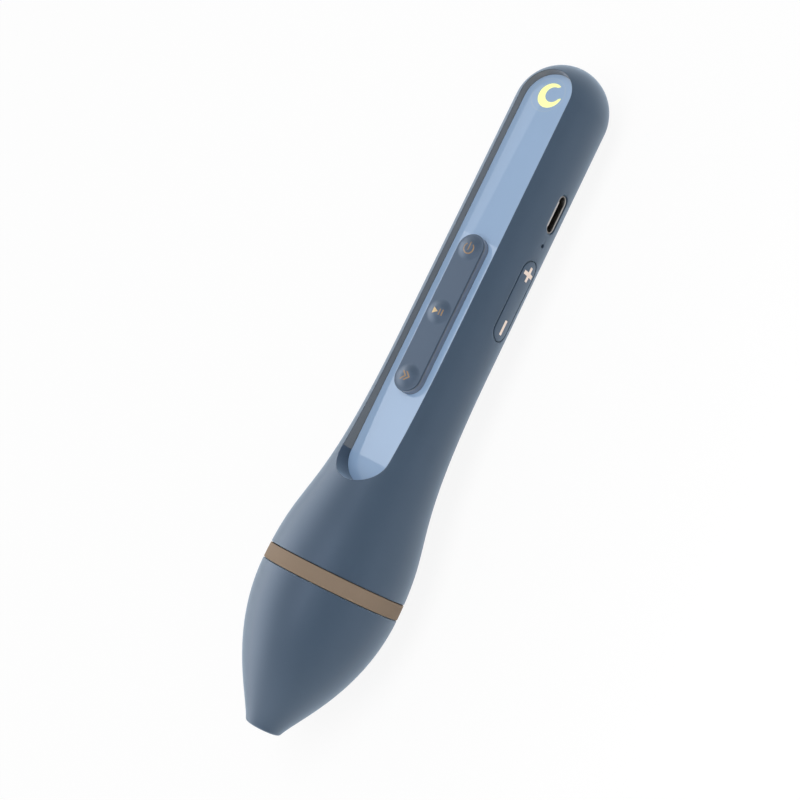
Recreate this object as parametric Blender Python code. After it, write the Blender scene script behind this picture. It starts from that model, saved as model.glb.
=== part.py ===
"""Audio reading pen, with every separate piece at its real size in metres.

The pen is built along its own axis: x runs from the flat tip to the round top end, z points out of
the key side, and the socket and the volume rocker face -y. All pieces hang from one empty, which
lays the pen on its belly and on the far end of its handle, with the keys up.
"""
import math

import bmesh
import bpy

# Body: one turned outline from the tip to the round top end
BODY_LENGTH = 0.1590
HANDLE_RADIUS = 0.0108
BELLY_RADIUS = 0.0158
BELLY_PLACE = 0.0328
NECK_PLACE = 0.0890
TIP_RADIUS = 0.0042
TIP_FILLET = 0.0007
TIP_ANGLE = math.radians(24)
TIP_PULL_SHARE = 0.155
NOSE_PULL_SHARE = 0.525
BELLY_PULL_SHARE = 0.352
NECK_PULL_SHARE = 0.742

# Walls, fits and mesh fineness
HOUSING_WALL = 0.0016
NOSE_WALL = 0.0018
CLEARANCE = 0.0003
SEAM = 0.0002
OVERRUN = 0.0060
BODY_SIDES = 44
ROUND_SIDES = 20
SMALL_SIDES = 10
NOSE_STEPS = 9
NECK_STEPS = 11
ARC_STEPS = 7
DOME_STEPS = 4
WELD = 0.000001
SMOOTH_ANGLE = math.radians(35)

# Nose cone: reading aperture, window seat and the spigot that the housing slides over
APERTURE_RADIUS = 0.0026
TIP_LIP = 0.0007
WINDOW_RADIUS = 0.0029
WINDOW_THICKNESS = 0.0008
NOSE_FLANGE = 0.0030
SPIGOT_WALL = 0.0012
SPIGOT_REACH = 0.0046

# Trim ring between nose cone and housing
RING_START = 0.03235
RING_WIDTH = 0.0038
RING_DEPTH = 0.0019

# Slot in the housing, its moulded tray, and the glossy panel in it
SLOT_HALF_WIDTH = 0.0063
SLOT_FOOT = 0.0611
PANEL_DROP = 0.0041
PANEL_THICKNESS = 0.0012
TRAY_FLOOR = 0.0012
TRAY_WALL = 0.0011

# Raised key bar with three domed keys
BAR_HALF_WIDTH = 0.0033
BAR_HEIGHT = 0.0021
SKIN_THICKNESS = 0.0005
MIDDLE_KEY_SHARE = 0.3927
KEY_SPACING = 0.0154
KEY_RADIUS = 0.0027
KEY_DEPTH = 0.0013
KEY_TRAVEL = 0.0004
DOME_HEIGHT = 0.0005
STEM_RADIUS = 0.0012
KEY_WINDOW_HALF_WIDTH = 0.0024

# Crescent light, placed from the centre of the slot's head
MOON_FROM_HEAD = 0.0011
MOON_RADIUS = 0.0029
MOON_INNER_RADIUS = 0.0017
MOON_SHIFT_ALONG = 0.0003
MOON_SHIFT_ACROSS = 0.0005
MOON_MOUTH_HALF_WIDTH = 0.0015
MOON_TURN = math.radians(-64)
LIGHT_GUIDE_RADIUS = 0.0038
LED_LENGTH = 0.0016
LED_WIDTH = 0.0012
LED_THICKNESS = 0.0005

# Main board under the tray, with its chips and key switches
BOARD_LEAD = 0.0051
BOARD_END_GAP = 0.0055
BOARD_HALF_WIDTH = 0.0066
BOARD_THICKNESS = 0.0010
BOARD_DROP = 0.0009
SWITCH_WIDTH = 0.0030
SWITCH_BODY = 0.0006
PLUNGER_RADIUS = 0.0008
PLUNGER_HEIGHT = 0.0003
CHIP_THICKNESS = 0.0008
CHIP_GAP = 0.0007
PROCESSOR_GAP = 0.0043
PROCESSOR_SIDE = 0.0070
MEMORY_LENGTH = 0.0080
MEMORY_WIDTH = 0.0060
AMPLIFIER_FROM_END = 0.0205
AMPLIFIER_SIDE = 0.0030
AMPLIFIER_OFFSET = 0.0050

# Screws that hold the main board to bosses under the tray
FRONT_SCREW_GAP = 0.0100
REAR_SCREW_FROM_HEAD = 0.0282
BOARD_SCREW_OFFSET = 0.0048
SCREW_RADIUS = 0.0007
SCREW_HEAD_RADIUS = 0.0014
SCREW_HEAD_HEIGHT = 0.0008
SCREW_REACH = 0.0016
BOSS_RADIUS = 0.0017

# Charging socket, placed from the centre of the slot's head
USB_FROM_HEAD = 0.0224
USB_LENGTH = 0.00894
USB_HEIGHT = 0.00326
USB_DEPTH = 0.0073
USB_WALL = 0.0003
USB_RECESS = 0.0003
TONGUE_LENGTH = 0.0067
TONGUE_THICKNESS = 0.0007
TONGUE_BASE = 0.0018
TONGUE_RECESS = 0.0009

# Pin hole and the microphone behind it
PIN_HOLE_GAP = 0.0031
PIN_HOLE_RADIUS = 0.0005
MICROPHONE_LENGTH = 0.0030
MICROPHONE_WIDTH = 0.0024
MICROPHONE_THICKNESS = 0.0010

# Volume rocker, its pin, and the small board with two switches behind it
ROCKER_GAP = 0.0041
ROCKER_LENGTH = 0.0188
ROCKER_HALF_WIDTH = 0.0025
ROCKER_THICKNESS = 0.0019
ROCKER_AXIS_DEPTH = 0.0028
ROCKER_TILT = math.radians(2)
ROCKER_BOSS_HALF_LENGTH = 0.0013
ROCKER_BOSS_HALF_WIDTH = 0.0022
ROCKER_BOSS_DEPTH = 0.0010
ROCKER_PIN_RADIUS = 0.0005
ROCKER_NUB_PLACE = 0.0063
ROCKER_NUB_RADIUS = 0.0007
ROCKER_NUB_REACH = 0.0006
EAR_WIDTH = 0.0010
EAR_HALF_LENGTH = 0.0014
VOLUME_BOARD_MARGIN = 0.0012
VOLUME_BOARD_HEIGHT = 0.0034
VOLUME_BOARD_THICKNESS = 0.0008

# Battery and the cradle that holds it between two bulkheads
BATTERY_LENGTH = 0.0440
BATTERY_LEAD_ROOM = 0.00665
BATTERY_WALL_GAP = 0.0006
BATTERY_BOARD_GAP = 0.0007
BATTERY_CAP_RADIUS = 0.0016
BATTERY_CAP_HEIGHT = 0.0008
BULKHEAD = 0.0015
CRADLE_DROP = 0.0016
RAIL_HEIGHT = 0.0016
LEAD_RADIUS = 0.0004
LEAD_GAP = 0.0005
LEAD_DROP_SHARE = 0.5
LEAD_PULL = 0.0070
LEAD_STEPS = 16

# Speaker in the back of the handle's far end, and its holes
SPEAKER_FROM_HEAD = 0.0082
SPEAKER_SIDE_GAP = 0.00074
SPEAKER_SEAT_RISE = 0.0026
SPEAKER_RIM = 0.0009
SPEAKER_RIM_THICKNESS = 0.0008
SPEAKER_DEPTH = 0.0026
SPEAKER_BACK_RADIUS = 0.0046
SPEAKER_SHEET = 0.0004
GASKET_THICKNESS = 0.0004
MAGNET_RADIUS = 0.0032
MAGNET_THICKNESS = 0.0018
CONE_SHEET = 0.0003
CONE_DEPTH = 0.0009
CONE_CAP_RADIUS = 0.0020
SOUND_HOLE_RADIUS = 0.0005
SOUND_HOLE_PITCH = 0.0019
SOUND_HOLE_RINGS = 2

# Reading camera in the nose
BARREL_START = 0.0095
BARREL_RADIUS = 0.0043
BARREL_BORE = 0.0032
HOLDER_FLANGE_PLACE = 0.0200
HOLDER_FLANGE_THICKNESS = 0.0014
HOLDER_END = 0.0240
LENS_PLACE = 0.0130
LENS_RADIUS = 0.0029
LENS_EDGE = 0.0008
LENS_BULGE = 0.0005
SENSOR_BOARD_RADIUS = 0.0108
SENSOR_SIDE = 0.0036
SENSOR_THICKNESS = 0.0007
INFRARED_OFFSET = 0.0068
INFRARED_RADIUS = 0.0015
INFRARED_TIP_PLACE = 0.0150
INFRARED_COLLAR = 0.0003
INFRARED_COLLAR_LENGTH = 0.0008
POST_RADIUS = 0.0016
POST_OFFSET = 0.0076
RIBBON_HALF_WIDTH = 0.00225
RIBBON_LEAD_GAP = 0.00065
RIBBON_THICKNESS = 0.0003
RIBBON_PULL = 0.0120
RIBBON_SCREW_GAP = 0.0006

# Places that follow from the sizes above
RING_END = RING_START + RING_WIDTH
RING_BORE = BELLY_RADIUS - RING_DEPTH
SPIGOT_RADIUS = RING_BORE - CLEARANCE
SPIGOT_END = RING_END + SPIGOT_REACH
HEAD_CENTRE = BODY_LENGTH - HANDLE_RADIUS
HANDLE_BORE = HANDLE_RADIUS - HOUSING_WALL
PANEL_HEIGHT = HANDLE_RADIUS - PANEL_DROP
PANEL_UNDERSIDE = PANEL_HEIGHT - PANEL_THICKNESS
FLOOR_TOP = PANEL_UNDERSIDE - CLEARANCE
FLOOR_UNDERSIDE = FLOOR_TOP - TRAY_FLOOR
BOARD_TOP = FLOOR_UNDERSIDE - BOARD_DROP
BOARD_UNDERSIDE = BOARD_TOP - BOARD_THICKNESS
BAR_TOP = PANEL_HEIGHT + BAR_HEIGHT
BASE_TOP = BAR_TOP - SKIN_THICKNESS - SEAM
MIDDLE_KEY_PLACE = SLOT_FOOT + MIDDLE_KEY_SHARE * (HEAD_CENTRE - SLOT_FOOT)
KEY_PLACES = tuple(MIDDLE_KEY_PLACE + step * KEY_SPACING for step in (1, 0, -1))
MOON_PLACE = HEAD_CENTRE + MOON_FROM_HEAD
BOARD_START = SLOT_FOOT - BOARD_LEAD
BOARD_END = BODY_LENGTH - BOARD_END_GAP
BOARD_SCREW_PLACES = (BOARD_START + FRONT_SCREW_GAP, HEAD_CENTRE - REAR_SCREW_FROM_HEAD)
SWITCH_TOP = BOARD_TOP + SEAM + SWITCH_BODY + PLUNGER_HEIGHT
STEM_FOOT = SWITCH_TOP + KEY_TRAVEL + SEAM
USB_PLACE = HEAD_CENTRE - USB_FROM_HEAD
USB_INNER_END = HANDLE_RADIUS - USB_RECESS - USB_DEPTH
PIN_HOLE_PLACE = USB_PLACE - USB_LENGTH / 2 - PIN_HOLE_GAP
ROCKER_PLACE = PIN_HOLE_PLACE - ROCKER_GAP - ROCKER_LENGTH / 2
ROCKER_INNER = HANDLE_RADIUS - ROCKER_THICKNESS
ROCKER_AXIS_RADIUS = HANDLE_RADIUS - ROCKER_AXIS_DEPTH
VOLUME_BOARD_LENGTH = 2 * ROCKER_NUB_PLACE + SWITCH_WIDTH + 2 * VOLUME_BOARD_MARGIN
CRADLE_TOP = BOARD_UNDERSIDE - CRADLE_DROP
BATTERY_ROOM = HANDLE_BORE - BATTERY_WALL_GAP + BOARD_UNDERSIDE - BATTERY_BOARD_GAP
BATTERY_RADIUS = BATTERY_ROOM / 2
BATTERY_DROP = HANDLE_BORE - BATTERY_WALL_GAP - BATTERY_RADIUS
BATTERY_START = SPIGOT_END + BATTERY_LEAD_ROOM
BATTERY_END = BATTERY_START + BATTERY_LENGTH + BATTERY_CAP_HEIGHT
LEAD_OFFSET = RIBBON_HALF_WIDTH + RIBBON_LEAD_GAP + LEAD_RADIUS
LEAD_NOTCH_HALF_WIDTH = LEAD_OFFSET + LEAD_RADIUS + LEAD_GAP
CHIP_EDGE = CLEARANCE - USB_INNER_END
PROCESSOR_START = BATTERY_END + PROCESSOR_GAP
MEMORY_START = PROCESSOR_START + PROCESSOR_SIDE + CHIP_GAP
AMPLIFIER_START = BOARD_END - AMPLIFIER_FROM_END - AMPLIFIER_SIDE / 2
SPEAKER_PLACE = HEAD_CENTRE - SPEAKER_FROM_HEAD
SPEAKER_SEAT = HANDLE_BORE - SPEAKER_SEAT_RISE
SPEAKER_FRONT = SPEAKER_SEAT - 2 * SEAM - GASKET_THICKNESS
SPEAKER_RADIUS = math.sqrt(HANDLE_BORE ** 2 - SPEAKER_FRONT ** 2) - SPEAKER_SIDE_GAP

# A turned piece points along +x: these turn it to +z and to -y
UP = (0, -math.pi / 2, 0)
OUT = (0, 0, -math.pi / 2)
# A flat outline in x and z, thickened towards -y
SIDEWAYS = (math.pi / 2, 0, 0)

# Colour, roughness and metallic value of each finish
FINISHES = {
    "slate_plastic": ((0.085, 0.115, 0.155), 0.45, 0.0),
    "bronze": ((0.25, 0.18, 0.14), 0.35, 0.8),
    "blue_gloss": ((0.28, 0.39, 0.55), 0.08, 0.0),
    "key_rubber": ((0.12, 0.165, 0.22), 0.5, 0.0),
    "moon_yellow": ((1.0, 0.95, 0.45), 0.3, 0.0),
    "light_guide": ((0.85, 0.88, 0.9), 0.15, 0.0),
    "black_plastic": ((0.02, 0.02, 0.022), 0.5, 0.0),
    "dark_glass": ((0.02, 0.005, 0.01), 0.05, 0.0),
    "clear_glass": ((0.8, 0.85, 0.9), 0.03, 0.0),
    "circuit_green": ((0.02, 0.16, 0.07), 0.4, 0.0),
    "bright_steel": ((0.55, 0.54, 0.52), 0.25, 1.0),
    "cell_blue": ((0.05, 0.12, 0.35), 0.3, 0.0),
    "foam": ((0.05, 0.05, 0.05), 0.9, 0.0),
    "paper_cone": ((0.1, 0.1, 0.1), 0.8, 0.0),
    "lead_red": ((0.5, 0.02, 0.02), 0.4, 0.0),
    "ribbon_amber": ((0.6, 0.3, 0.05), 0.35, 0.0),
}

for old in list(bpy.data.objects):
    bpy.data.objects.remove(old, do_unlink=True)


def make_finish(name):
    """The material of one finish, made once."""
    if name in bpy.data.materials:
        return bpy.data.materials[name]
    colour, roughness, metallic = FINISHES[name]
    finish = bpy.data.materials.new(name)
    finish.use_nodes = True
    shader = finish.node_tree.nodes["Principled BSDF"]
    shader.inputs["Base Color"].default_value = (*colour, 1)
    shader.inputs["Roughness"].default_value = roughness
    shader.inputs["Metallic"].default_value = metallic
    finish.diffuse_color = (*colour, 1)
    return finish


def bezier(start, start_pull, end_pull, end, steps):
    """Points of a cubic curve through start and end, in two or three coordinates."""
    points = []
    for step in range(steps + 1):
        t = step / steps
        weights = ((1 - t) ** 3, 3 * t * (1 - t) ** 2, 3 * t * t * (1 - t), t ** 3)
        corners = (start, start_pull, end_pull, end)
        points.append(tuple(sum(w * c[axis] for w, c in zip(weights, corners))
                            for axis in range(len(start))))
    return points


def arc(centre, radius, first, last, steps):
    """Points of an arc between two angles."""
    angles = [first + (last - first) * step / steps for step in range(steps + 1)]
    return [(centre[0] + radius * math.cos(a), centre[1] + radius * math.sin(a)) for a in angles]


def body_outline():
    """Outer outline of the body, from the edge of the flat tip to the round top end."""
    tip_normal = math.pi / 2 + TIP_ANGLE
    tip = arc((TIP_FILLET, TIP_RADIUS - TIP_FILLET), TIP_FILLET, math.pi, tip_normal, 3)
    start, belly, neck = tip[-1], (BELLY_PLACE, BELLY_RADIUS), (NECK_PLACE, HANDLE_RADIUS)
    nose_span = BELLY_PLACE - start[0]
    neck_span = NECK_PLACE - BELLY_PLACE
    pull = TIP_PULL_SHARE * nose_span
    nose = bezier(start, (start[0] + pull * math.cos(TIP_ANGLE), start[1] + pull * math.sin(TIP_ANGLE)),
                  (BELLY_PLACE - NOSE_PULL_SHARE * nose_span, BELLY_RADIUS), belly, NOSE_STEPS)
    shoulder = bezier(belly, (BELLY_PLACE + BELLY_PULL_SHARE * neck_span, BELLY_RADIUS),
                      (NECK_PLACE - NECK_PULL_SHARE * neck_span, HANDLE_RADIUS), neck, NECK_STEPS)
    head = arc((HEAD_CENTRE, 0), HANDLE_RADIUS, math.pi / 2, 0, ARC_STEPS)
    head[-1] = (BODY_LENGTH, 0)
    return tip + nose[1:] + shoulder[1:] + head


def radius_at(outline, place):
    """Radius of an outline at a place along the axis."""
    for (x0, r0), (x1, r1) in zip(outline, outline[1:]):
        if x0 <= place <= x1 and x1 > x0:
            return r0 + (r1 - r0) * (place - x0) / (x1 - x0)
    return outline[-1][1]


def between(outline, first, last):
    """The stretch of an outline between two places along the axis."""
    inner = [point for point in outline if first + WELD < point[0] < last - WELD]
    return [(first, radius_at(outline, first))] + inner + [(last, radius_at(outline, last))]


def inset(outline, depth):
    """An outline moved inwards by a wall's thickness, square to itself."""
    moved = []
    for index, (x, r) in enumerate(outline):
        x0, r0 = outline[max(index - 1, 0)]
        x1, r1 = outline[min(index + 1, len(outline) - 1)]
        length = math.hypot(x1 - x0, r1 - r0)
        moved.append((x + depth * (r1 - r0) / length, r - depth * (x1 - x0) / length))
    moved[-1] = (outline[-1][0] - depth, 0)
    return [point for point in moved if point[1] >= 0]


BODY = body_outline()
BODY_INSIDE = inset(BODY, HOUSING_WALL)
NOSE_INSIDE = inset(BODY, NOSE_WALL)


def resting_pitch():
    """Pitch at which the belly and the handle's far end lie on one level."""
    low, high = 0, math.pi / 8

    def reach(points, pitch):
        return max(x * math.sin(pitch) + r * FLAT_SHARE * math.cos(pitch) for x, r in points)

    belly = between(BODY, 0, NECK_PLACE)
    handle = between(BODY, NECK_PLACE, BODY_LENGTH)
    for _ in range(40):
        middle = (low + high) / 2
        if reach(belly, middle) > reach(handle, middle):
            low = middle
        else:
            high = middle
    return low, reach(handle, low)


# A faceted round body reaches its flats, not its corners, where it rests
FLAT_SHARE = math.cos(math.pi / BODY_SIDES)
PITCH, REST_HEIGHT = resting_pitch()


def lay_down():
    """The empty that carries all pieces, with the middle of the resting pen at the origin."""
    reaches = [x * math.cos(PITCH) + side * r * FLAT_SHARE * math.sin(PITCH)
               for x, r in BODY for side in (-1, 1)]
    carrier = bpy.data.objects.new("pen_axis", None)
    carrier.location = (-(min(reaches) + max(reaches)) / 2, 0, REST_HEIGHT)
    carrier.rotation_euler = (0, PITCH, 0)
    bpy.context.scene.collection.objects.link(carrier)
    return carrier


PEN = lay_down()


def piece(name, shape, finish, place=(0, 0, 0), turn=(0, 0, 0)):
    """A named piece from a bmesh, which is used up."""
    bmesh.ops.remove_doubles(shape, verts=shape.verts, dist=WELD)
    bmesh.ops.recalc_face_normals(shape, faces=shape.faces)
    mesh = bpy.data.meshes.new(name)
    shape.to_mesh(mesh)
    shape.free()
    mesh.shade_smooth()
    mesh.set_sharp_from_angle(angle=SMOOTH_ANGLE)
    mesh.materials.append(make_finish(finish))
    made = bpy.data.objects.new(name, mesh)
    made.parent = PEN
    made.location = place
    made.rotation_euler = turn
    bpy.context.scene.collection.objects.link(made)
    return made


def tool(name, shape, place=(0, 0, 0), turn=(0, 0, 0)):
    """A shape that only cuts or joins another."""
    made = piece(name, shape, "black_plastic", place, turn)
    made.hide_render = True
    made.display_type = "WIRE"
    return made


def combine(target, other, operation="DIFFERENCE"):
    """Cut, join or trim a piece with a tool."""
    step = target.modifiers.new(other.name, "BOOLEAN")
    step.operation = operation
    step.solver = "EXACT"
    step.object = other


def turned(points, sides):
    """A solid turned about x from its half section, with flats facing y and z."""
    shape = bmesh.new()
    tilt = math.pi / sides
    verts = [shape.verts.new((x, r * math.sin(tilt), r * math.cos(tilt))) for x, r in points]
    on_axis = points[0][1] == 0 and points[-1][1] == 0
    ends = verts[1:] if on_axis else verts[1:] + verts[:1]
    edges = [shape.edges.new(pair) for pair in zip(verts, ends)]
    bmesh.ops.spin(shape, geom=verts + edges, cent=(0, 0, 0), axis=(1, 0, 0), dvec=(0, 0, 0),
                   angle=2 * math.pi, steps=sides, use_merge=True)
    return shape


def rod(radius, length, sides=ROUND_SIDES, start=0):
    """A plain round bar along x."""
    return turned([(start, 0), (start, radius), (start + length, radius), (start + length, 0)], sides)


def merged(shapes):
    """Several separate shapes in one bmesh."""
    whole = bmesh.new()
    for shape in shapes:
        mesh = bpy.data.meshes.new("part")
        shape.to_mesh(mesh)
        whole.from_mesh(mesh)
        shape.free()
        bpy.data.meshes.remove(mesh)
    return whole


def moved(shape, place):
    """A shape shifted to a place."""
    bmesh.ops.translate(shape, verts=shape.verts, vec=place)
    return shape


def prism(outline, low, high):
    """A flat outline in x and y, thickened along z."""
    shape = bmesh.new()
    base = shape.faces.new([shape.verts.new((x, y, low)) for x, y in outline])
    top = bmesh.ops.extrude_face_region(shape, geom=[base])["geom"]
    risen = [item for item in top if isinstance(item, bmesh.types.BMVert)]
    bmesh.ops.translate(shape, verts=risen, vec=(0, 0, high - low))
    return shape


def stadium(first, last, half_width, steps=ARC_STEPS):
    """Outline of a bar with two round ends, given by the centres of those ends."""
    far = arc((last, 0), half_width, -math.pi / 2, math.pi / 2, steps)
    near = arc((first, 0), half_width, math.pi / 2, 3 * math.pi / 2, steps)
    return far + near


def disc(centre, radius, sides=ROUND_SIDES):
    """Outline of a circle."""
    return arc(centre, radius, 0, 2 * math.pi * (sides - 1) / sides, sides - 1)


def block(low, high):
    """A box between two corners."""
    shape = bmesh.new()
    bmesh.ops.create_cube(shape, size=1)
    bmesh.ops.scale(shape, verts=shape.verts, vec=[b - a for a, b in zip(low, high)])
    return moved(shape, [(a + b) / 2 for a, b in zip(low, high)])


def make_nose():
    """Nose cone: thin tip with the reading aperture, belly, and the spigot inside the ring."""
    window_back = TIP_LIP + SEAM + WINDOW_THICKNESS + SEAM
    window_bore = WINDOW_RADIUS + CLEARANCE
    flange_start = RING_START - NOSE_FLANGE
    spigot_bore = SPIGOT_RADIUS - SPIGOT_WALL
    outside = [point for point in BODY if point[0] < RING_START]
    hollow = [p for p in between(NOSE_INSIDE, window_back, flange_start) if p[1] > window_bore]
    section = [(0, APERTURE_RADIUS)] + outside + [(RING_START, radius_at(BODY, RING_START))]
    section += [(RING_START, SPIGOT_RADIUS), (SPIGOT_END, SPIGOT_RADIUS), (SPIGOT_END, spigot_bore)]
    section += [(flange_start, spigot_bore)] + hollow[::-1]
    section += [(hollow[0][0], window_bore), (TIP_LIP, window_bore), (TIP_LIP, APERTURE_RADIUS)]
    piece("nose_cone", turned(section, BODY_SIDES), "slate_plastic")
    piece("tip_window", rod(WINDOW_RADIUS, WINDOW_THICKNESS, start=TIP_LIP + SEAM), "dark_glass")


def make_ring():
    """Bronze trim ring, flush with the belly."""
    outside = between(BODY, RING_START + SEAM, RING_END - SEAM)
    section = [(outside[0][0], RING_BORE)] + outside + [(outside[-1][0], RING_BORE)]
    piece("trim_ring", turned(section, BODY_SIDES), "bronze")


def make_cavity():
    """Hollow of the housing, less the tray, bosses, speaker seat and rocker ears left standing."""
    start = RING_END - OVERRUN
    inside = between(BODY_INSIDE, RING_END, BODY_INSIDE[-1][0])
    inside[-1] = BODY_INSIDE[-1]
    section = [(start, 0), (start, inside[0][1])] + inside
    cavity = tool("housing_cavity", turned(section, BODY_SIDES))
    tray = prism(stadium(SLOT_FOOT, HEAD_CENTRE, SLOT_HALF_WIDTH + TRAY_WALL),
                 FLOOR_UNDERSIDE, BELLY_RADIUS + OVERRUN)
    combine(cavity, tool("tray_block", tray))
    boss_foot = BOARD_TOP + CLEARANCE
    bosses = [prism(disc((x, y), BOSS_RADIUS, SMALL_SIDES), boss_foot, FLOOR_TOP)
              for x, y in board_screw_places()]
    combine(cavity, tool("boss_blocks", merged(bosses)))
    seat = [(-OVERRUN, SPEAKER_RADIUS - SPEAKER_RIM), (-OVERRUN, SPEAKER_RADIUS + SPEAKER_RIM),
            (0, SPEAKER_RADIUS + SPEAKER_RIM), (0, SPEAKER_RADIUS - SPEAKER_RIM)]
    combine(cavity, tool("speaker_seat_block", turned(seat, ROUND_SIDES),
                         (SPEAKER_PLACE, 0, -SPEAKER_SEAT), UP))
    ear_start = ROCKER_HALF_WIDTH + 2 * CLEARANCE
    ears = [block((ROCKER_PLACE - EAR_HALF_LENGTH, -BELLY_RADIUS, min(side * ear_start, far)),
                  (ROCKER_PLACE + EAR_HALF_LENGTH, -ear_depth(), max(side * ear_start, far)))
            for side, far in ((1, ear_start + EAR_WIDTH), (-1, -ear_start - EAR_WIDTH))]
    combine(cavity, tool("ear_blocks", merged(ears)))
    return cavity


def ear_depth():
    """Distance from the pen's axis to the inner end of the rocker's ears."""
    return ROCKER_AXIS_RADIUS - ROCKER_PIN_RADIUS - 2 * CLEARANCE


def board_screw_places():
    """Places of the screws that hold the main board."""
    front, rear = BOARD_SCREW_PLACES
    return ((front, BOARD_SCREW_OFFSET), (front, -BOARD_SCREW_OFFSET), (rear, BOARD_SCREW_OFFSET))


def sound_hole_places():
    """Centres of the speaker's holes: one in the middle and rings of six and twelve."""
    places = [(SPEAKER_PLACE, 0)]
    for ring in range(1, SOUND_HOLE_RINGS + 1):
        for step in range(6 * ring):
            angle = 2 * math.pi * step / (6 * ring)
            places.append((SPEAKER_PLACE + ring * SOUND_HOLE_PITCH * math.cos(angle),
                           ring * SOUND_HOLE_PITCH * math.sin(angle)))
    return places


def make_housing():
    """One-piece upper housing with its slot, tray windows, socket opening and holes."""
    outside = between(BODY, RING_END, BODY_LENGTH)
    outside[-1] = (BODY_LENGTH, 0)
    housing = piece("upper_housing", turned([(RING_END, 0)] + outside, BODY_SIDES), "slate_plastic")
    combine(housing, make_cavity())
    pocket = prism(stadium(SLOT_FOOT, HEAD_CENTRE, SLOT_HALF_WIDTH), FLOOR_TOP, BELLY_RADIUS + OVERRUN)
    combine(housing, tool("slot_pocket", pocket))
    windows = merged([
        prism(stadium(KEY_PLACES[-1], KEY_PLACES[0], KEY_WINDOW_HALF_WIDTH),
              FLOOR_UNDERSIDE - OVERRUN / 2, FLOOR_TOP + OVERRUN),
        prism(disc((MOON_PLACE, 0), LIGHT_GUIDE_RADIUS + CLEARANCE),
              FLOOR_UNDERSIDE - OVERRUN / 2, FLOOR_TOP + OVERRUN)])
    combine(housing, tool("tray_windows", windows))
    pilots = merged([prism(disc((x, y), SCREW_RADIUS + CLEARANCE, SMALL_SIDES),
                           BOARD_TOP, BOARD_TOP + SCREW_REACH)
                     for x, y in board_screw_places()])
    combine(housing, tool("screw_pilots", pilots))
    socket_half = USB_HEIGHT / 2 + SEAM
    socket_end = USB_LENGTH / 2 - USB_HEIGHT / 2
    combine(housing, tool("socket_opening", prism(stadium(-socket_end, socket_end, socket_half),
                                                  HANDLE_RADIUS / 2, HANDLE_RADIUS + OVERRUN),
                          (USB_PLACE, 0, 0), SIDEWAYS))
    combine(housing, tool("pin_hole", rod(PIN_HOLE_RADIUS, HANDLE_RADIUS, SMALL_SIDES, HANDLE_RADIUS / 2),
                          (PIN_HOLE_PLACE, 0, 0), OUT))
    rocker_end = ROCKER_LENGTH / 2 - ROCKER_HALF_WIDTH
    opening = prism(stadium(-rocker_end, rocker_end, ROCKER_HALF_WIDTH + CLEARANCE),
                    ear_depth(), HANDLE_RADIUS + OVERRUN)
    combine(housing, tool("rocker_opening", opening, (ROCKER_PLACE, 0, 0), SIDEWAYS))
    ear_reach = ROCKER_HALF_WIDTH + EAR_WIDTH + 3 * CLEARANCE
    combine(housing, tool("ear_holes", rod(ROCKER_PIN_RADIUS + CLEARANCE, 2 * ear_reach, SMALL_SIDES,
                                           -ear_reach), (ROCKER_PLACE, -ROCKER_AXIS_RADIUS, 0), UP))
    holes = merged([prism(disc(place, SOUND_HOLE_RADIUS, SMALL_SIDES), -BELLY_RADIUS, -SPEAKER_SEAT)
                    for place in sound_hole_places()])
    combine(housing, tool("sound_holes", holes))


def open_crescent(moon, gap, low, high):
    """Cut a disc's inside and a mouth out of it, towards the socket side, both narrower by a gap."""
    centre = (MOON_PLACE + MOON_SHIFT_ALONG, -MOON_SHIFT_ACROSS)
    bite = prism(disc(centre, MOON_INNER_RADIUS - gap, BODY_SIDES), low - OVERRUN, high + OVERRUN)
    combine(moon, tool(moon.name + "_bite", bite))
    mouth = prism(stadium(0, MOON_RADIUS + OVERRUN, MOON_MOUTH_HALF_WIDTH - gap),
                  low - OVERRUN, high + OVERRUN)
    combine(moon, tool(moon.name + "_mouth", mouth, (*centre, 0), (0, 0, MOON_TURN)))


def make_panel():
    """Glossy panel with its key window and crescent, and what lights the crescent."""
    outline = stadium(SLOT_FOOT, HEAD_CENTRE, SLOT_HALF_WIDTH - SEAM, 2 * ARC_STEPS)
    panel = piece("front_panel", prism(outline, PANEL_UNDERSIDE, PANEL_HEIGHT), "blue_gloss")
    window = prism(stadium(KEY_PLACES[-1], KEY_PLACES[0], BAR_HALF_WIDTH + SEAM),
                   PANEL_UNDERSIDE - OVERRUN, PANEL_HEIGHT + OVERRUN)
    combine(panel, tool("panel_window", window))
    low, high = PANEL_UNDERSIDE - OVERRUN, PANEL_HEIGHT + OVERRUN
    hole = tool("moon_hole", prism(disc((MOON_PLACE, 0), MOON_RADIUS + SEAM, BODY_SIDES), low, high))
    open_crescent(hole, SEAM, low, high)
    combine(panel, hole)
    lens = piece("moon_lens", prism(disc((MOON_PLACE, 0), MOON_RADIUS, BODY_SIDES),
                                    PANEL_UNDERSIDE, PANEL_HEIGHT), "moon_yellow")
    open_crescent(lens, 0, PANEL_UNDERSIDE, PANEL_HEIGHT)
    guide = prism(disc((MOON_PLACE, 0), LIGHT_GUIDE_RADIUS), FLOOR_UNDERSIDE, FLOOR_TOP + SEAM / 2)
    piece("light_guide", guide, "light_guide")
    led_foot = BOARD_TOP + SEAM
    piece("moon_led", block((MOON_PLACE - LED_LENGTH / 2, -LED_WIDTH / 2, led_foot),
                            (MOON_PLACE + LED_LENGTH / 2, LED_WIDTH / 2, led_foot + LED_THICKNESS)),
          "moon_yellow")


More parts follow.
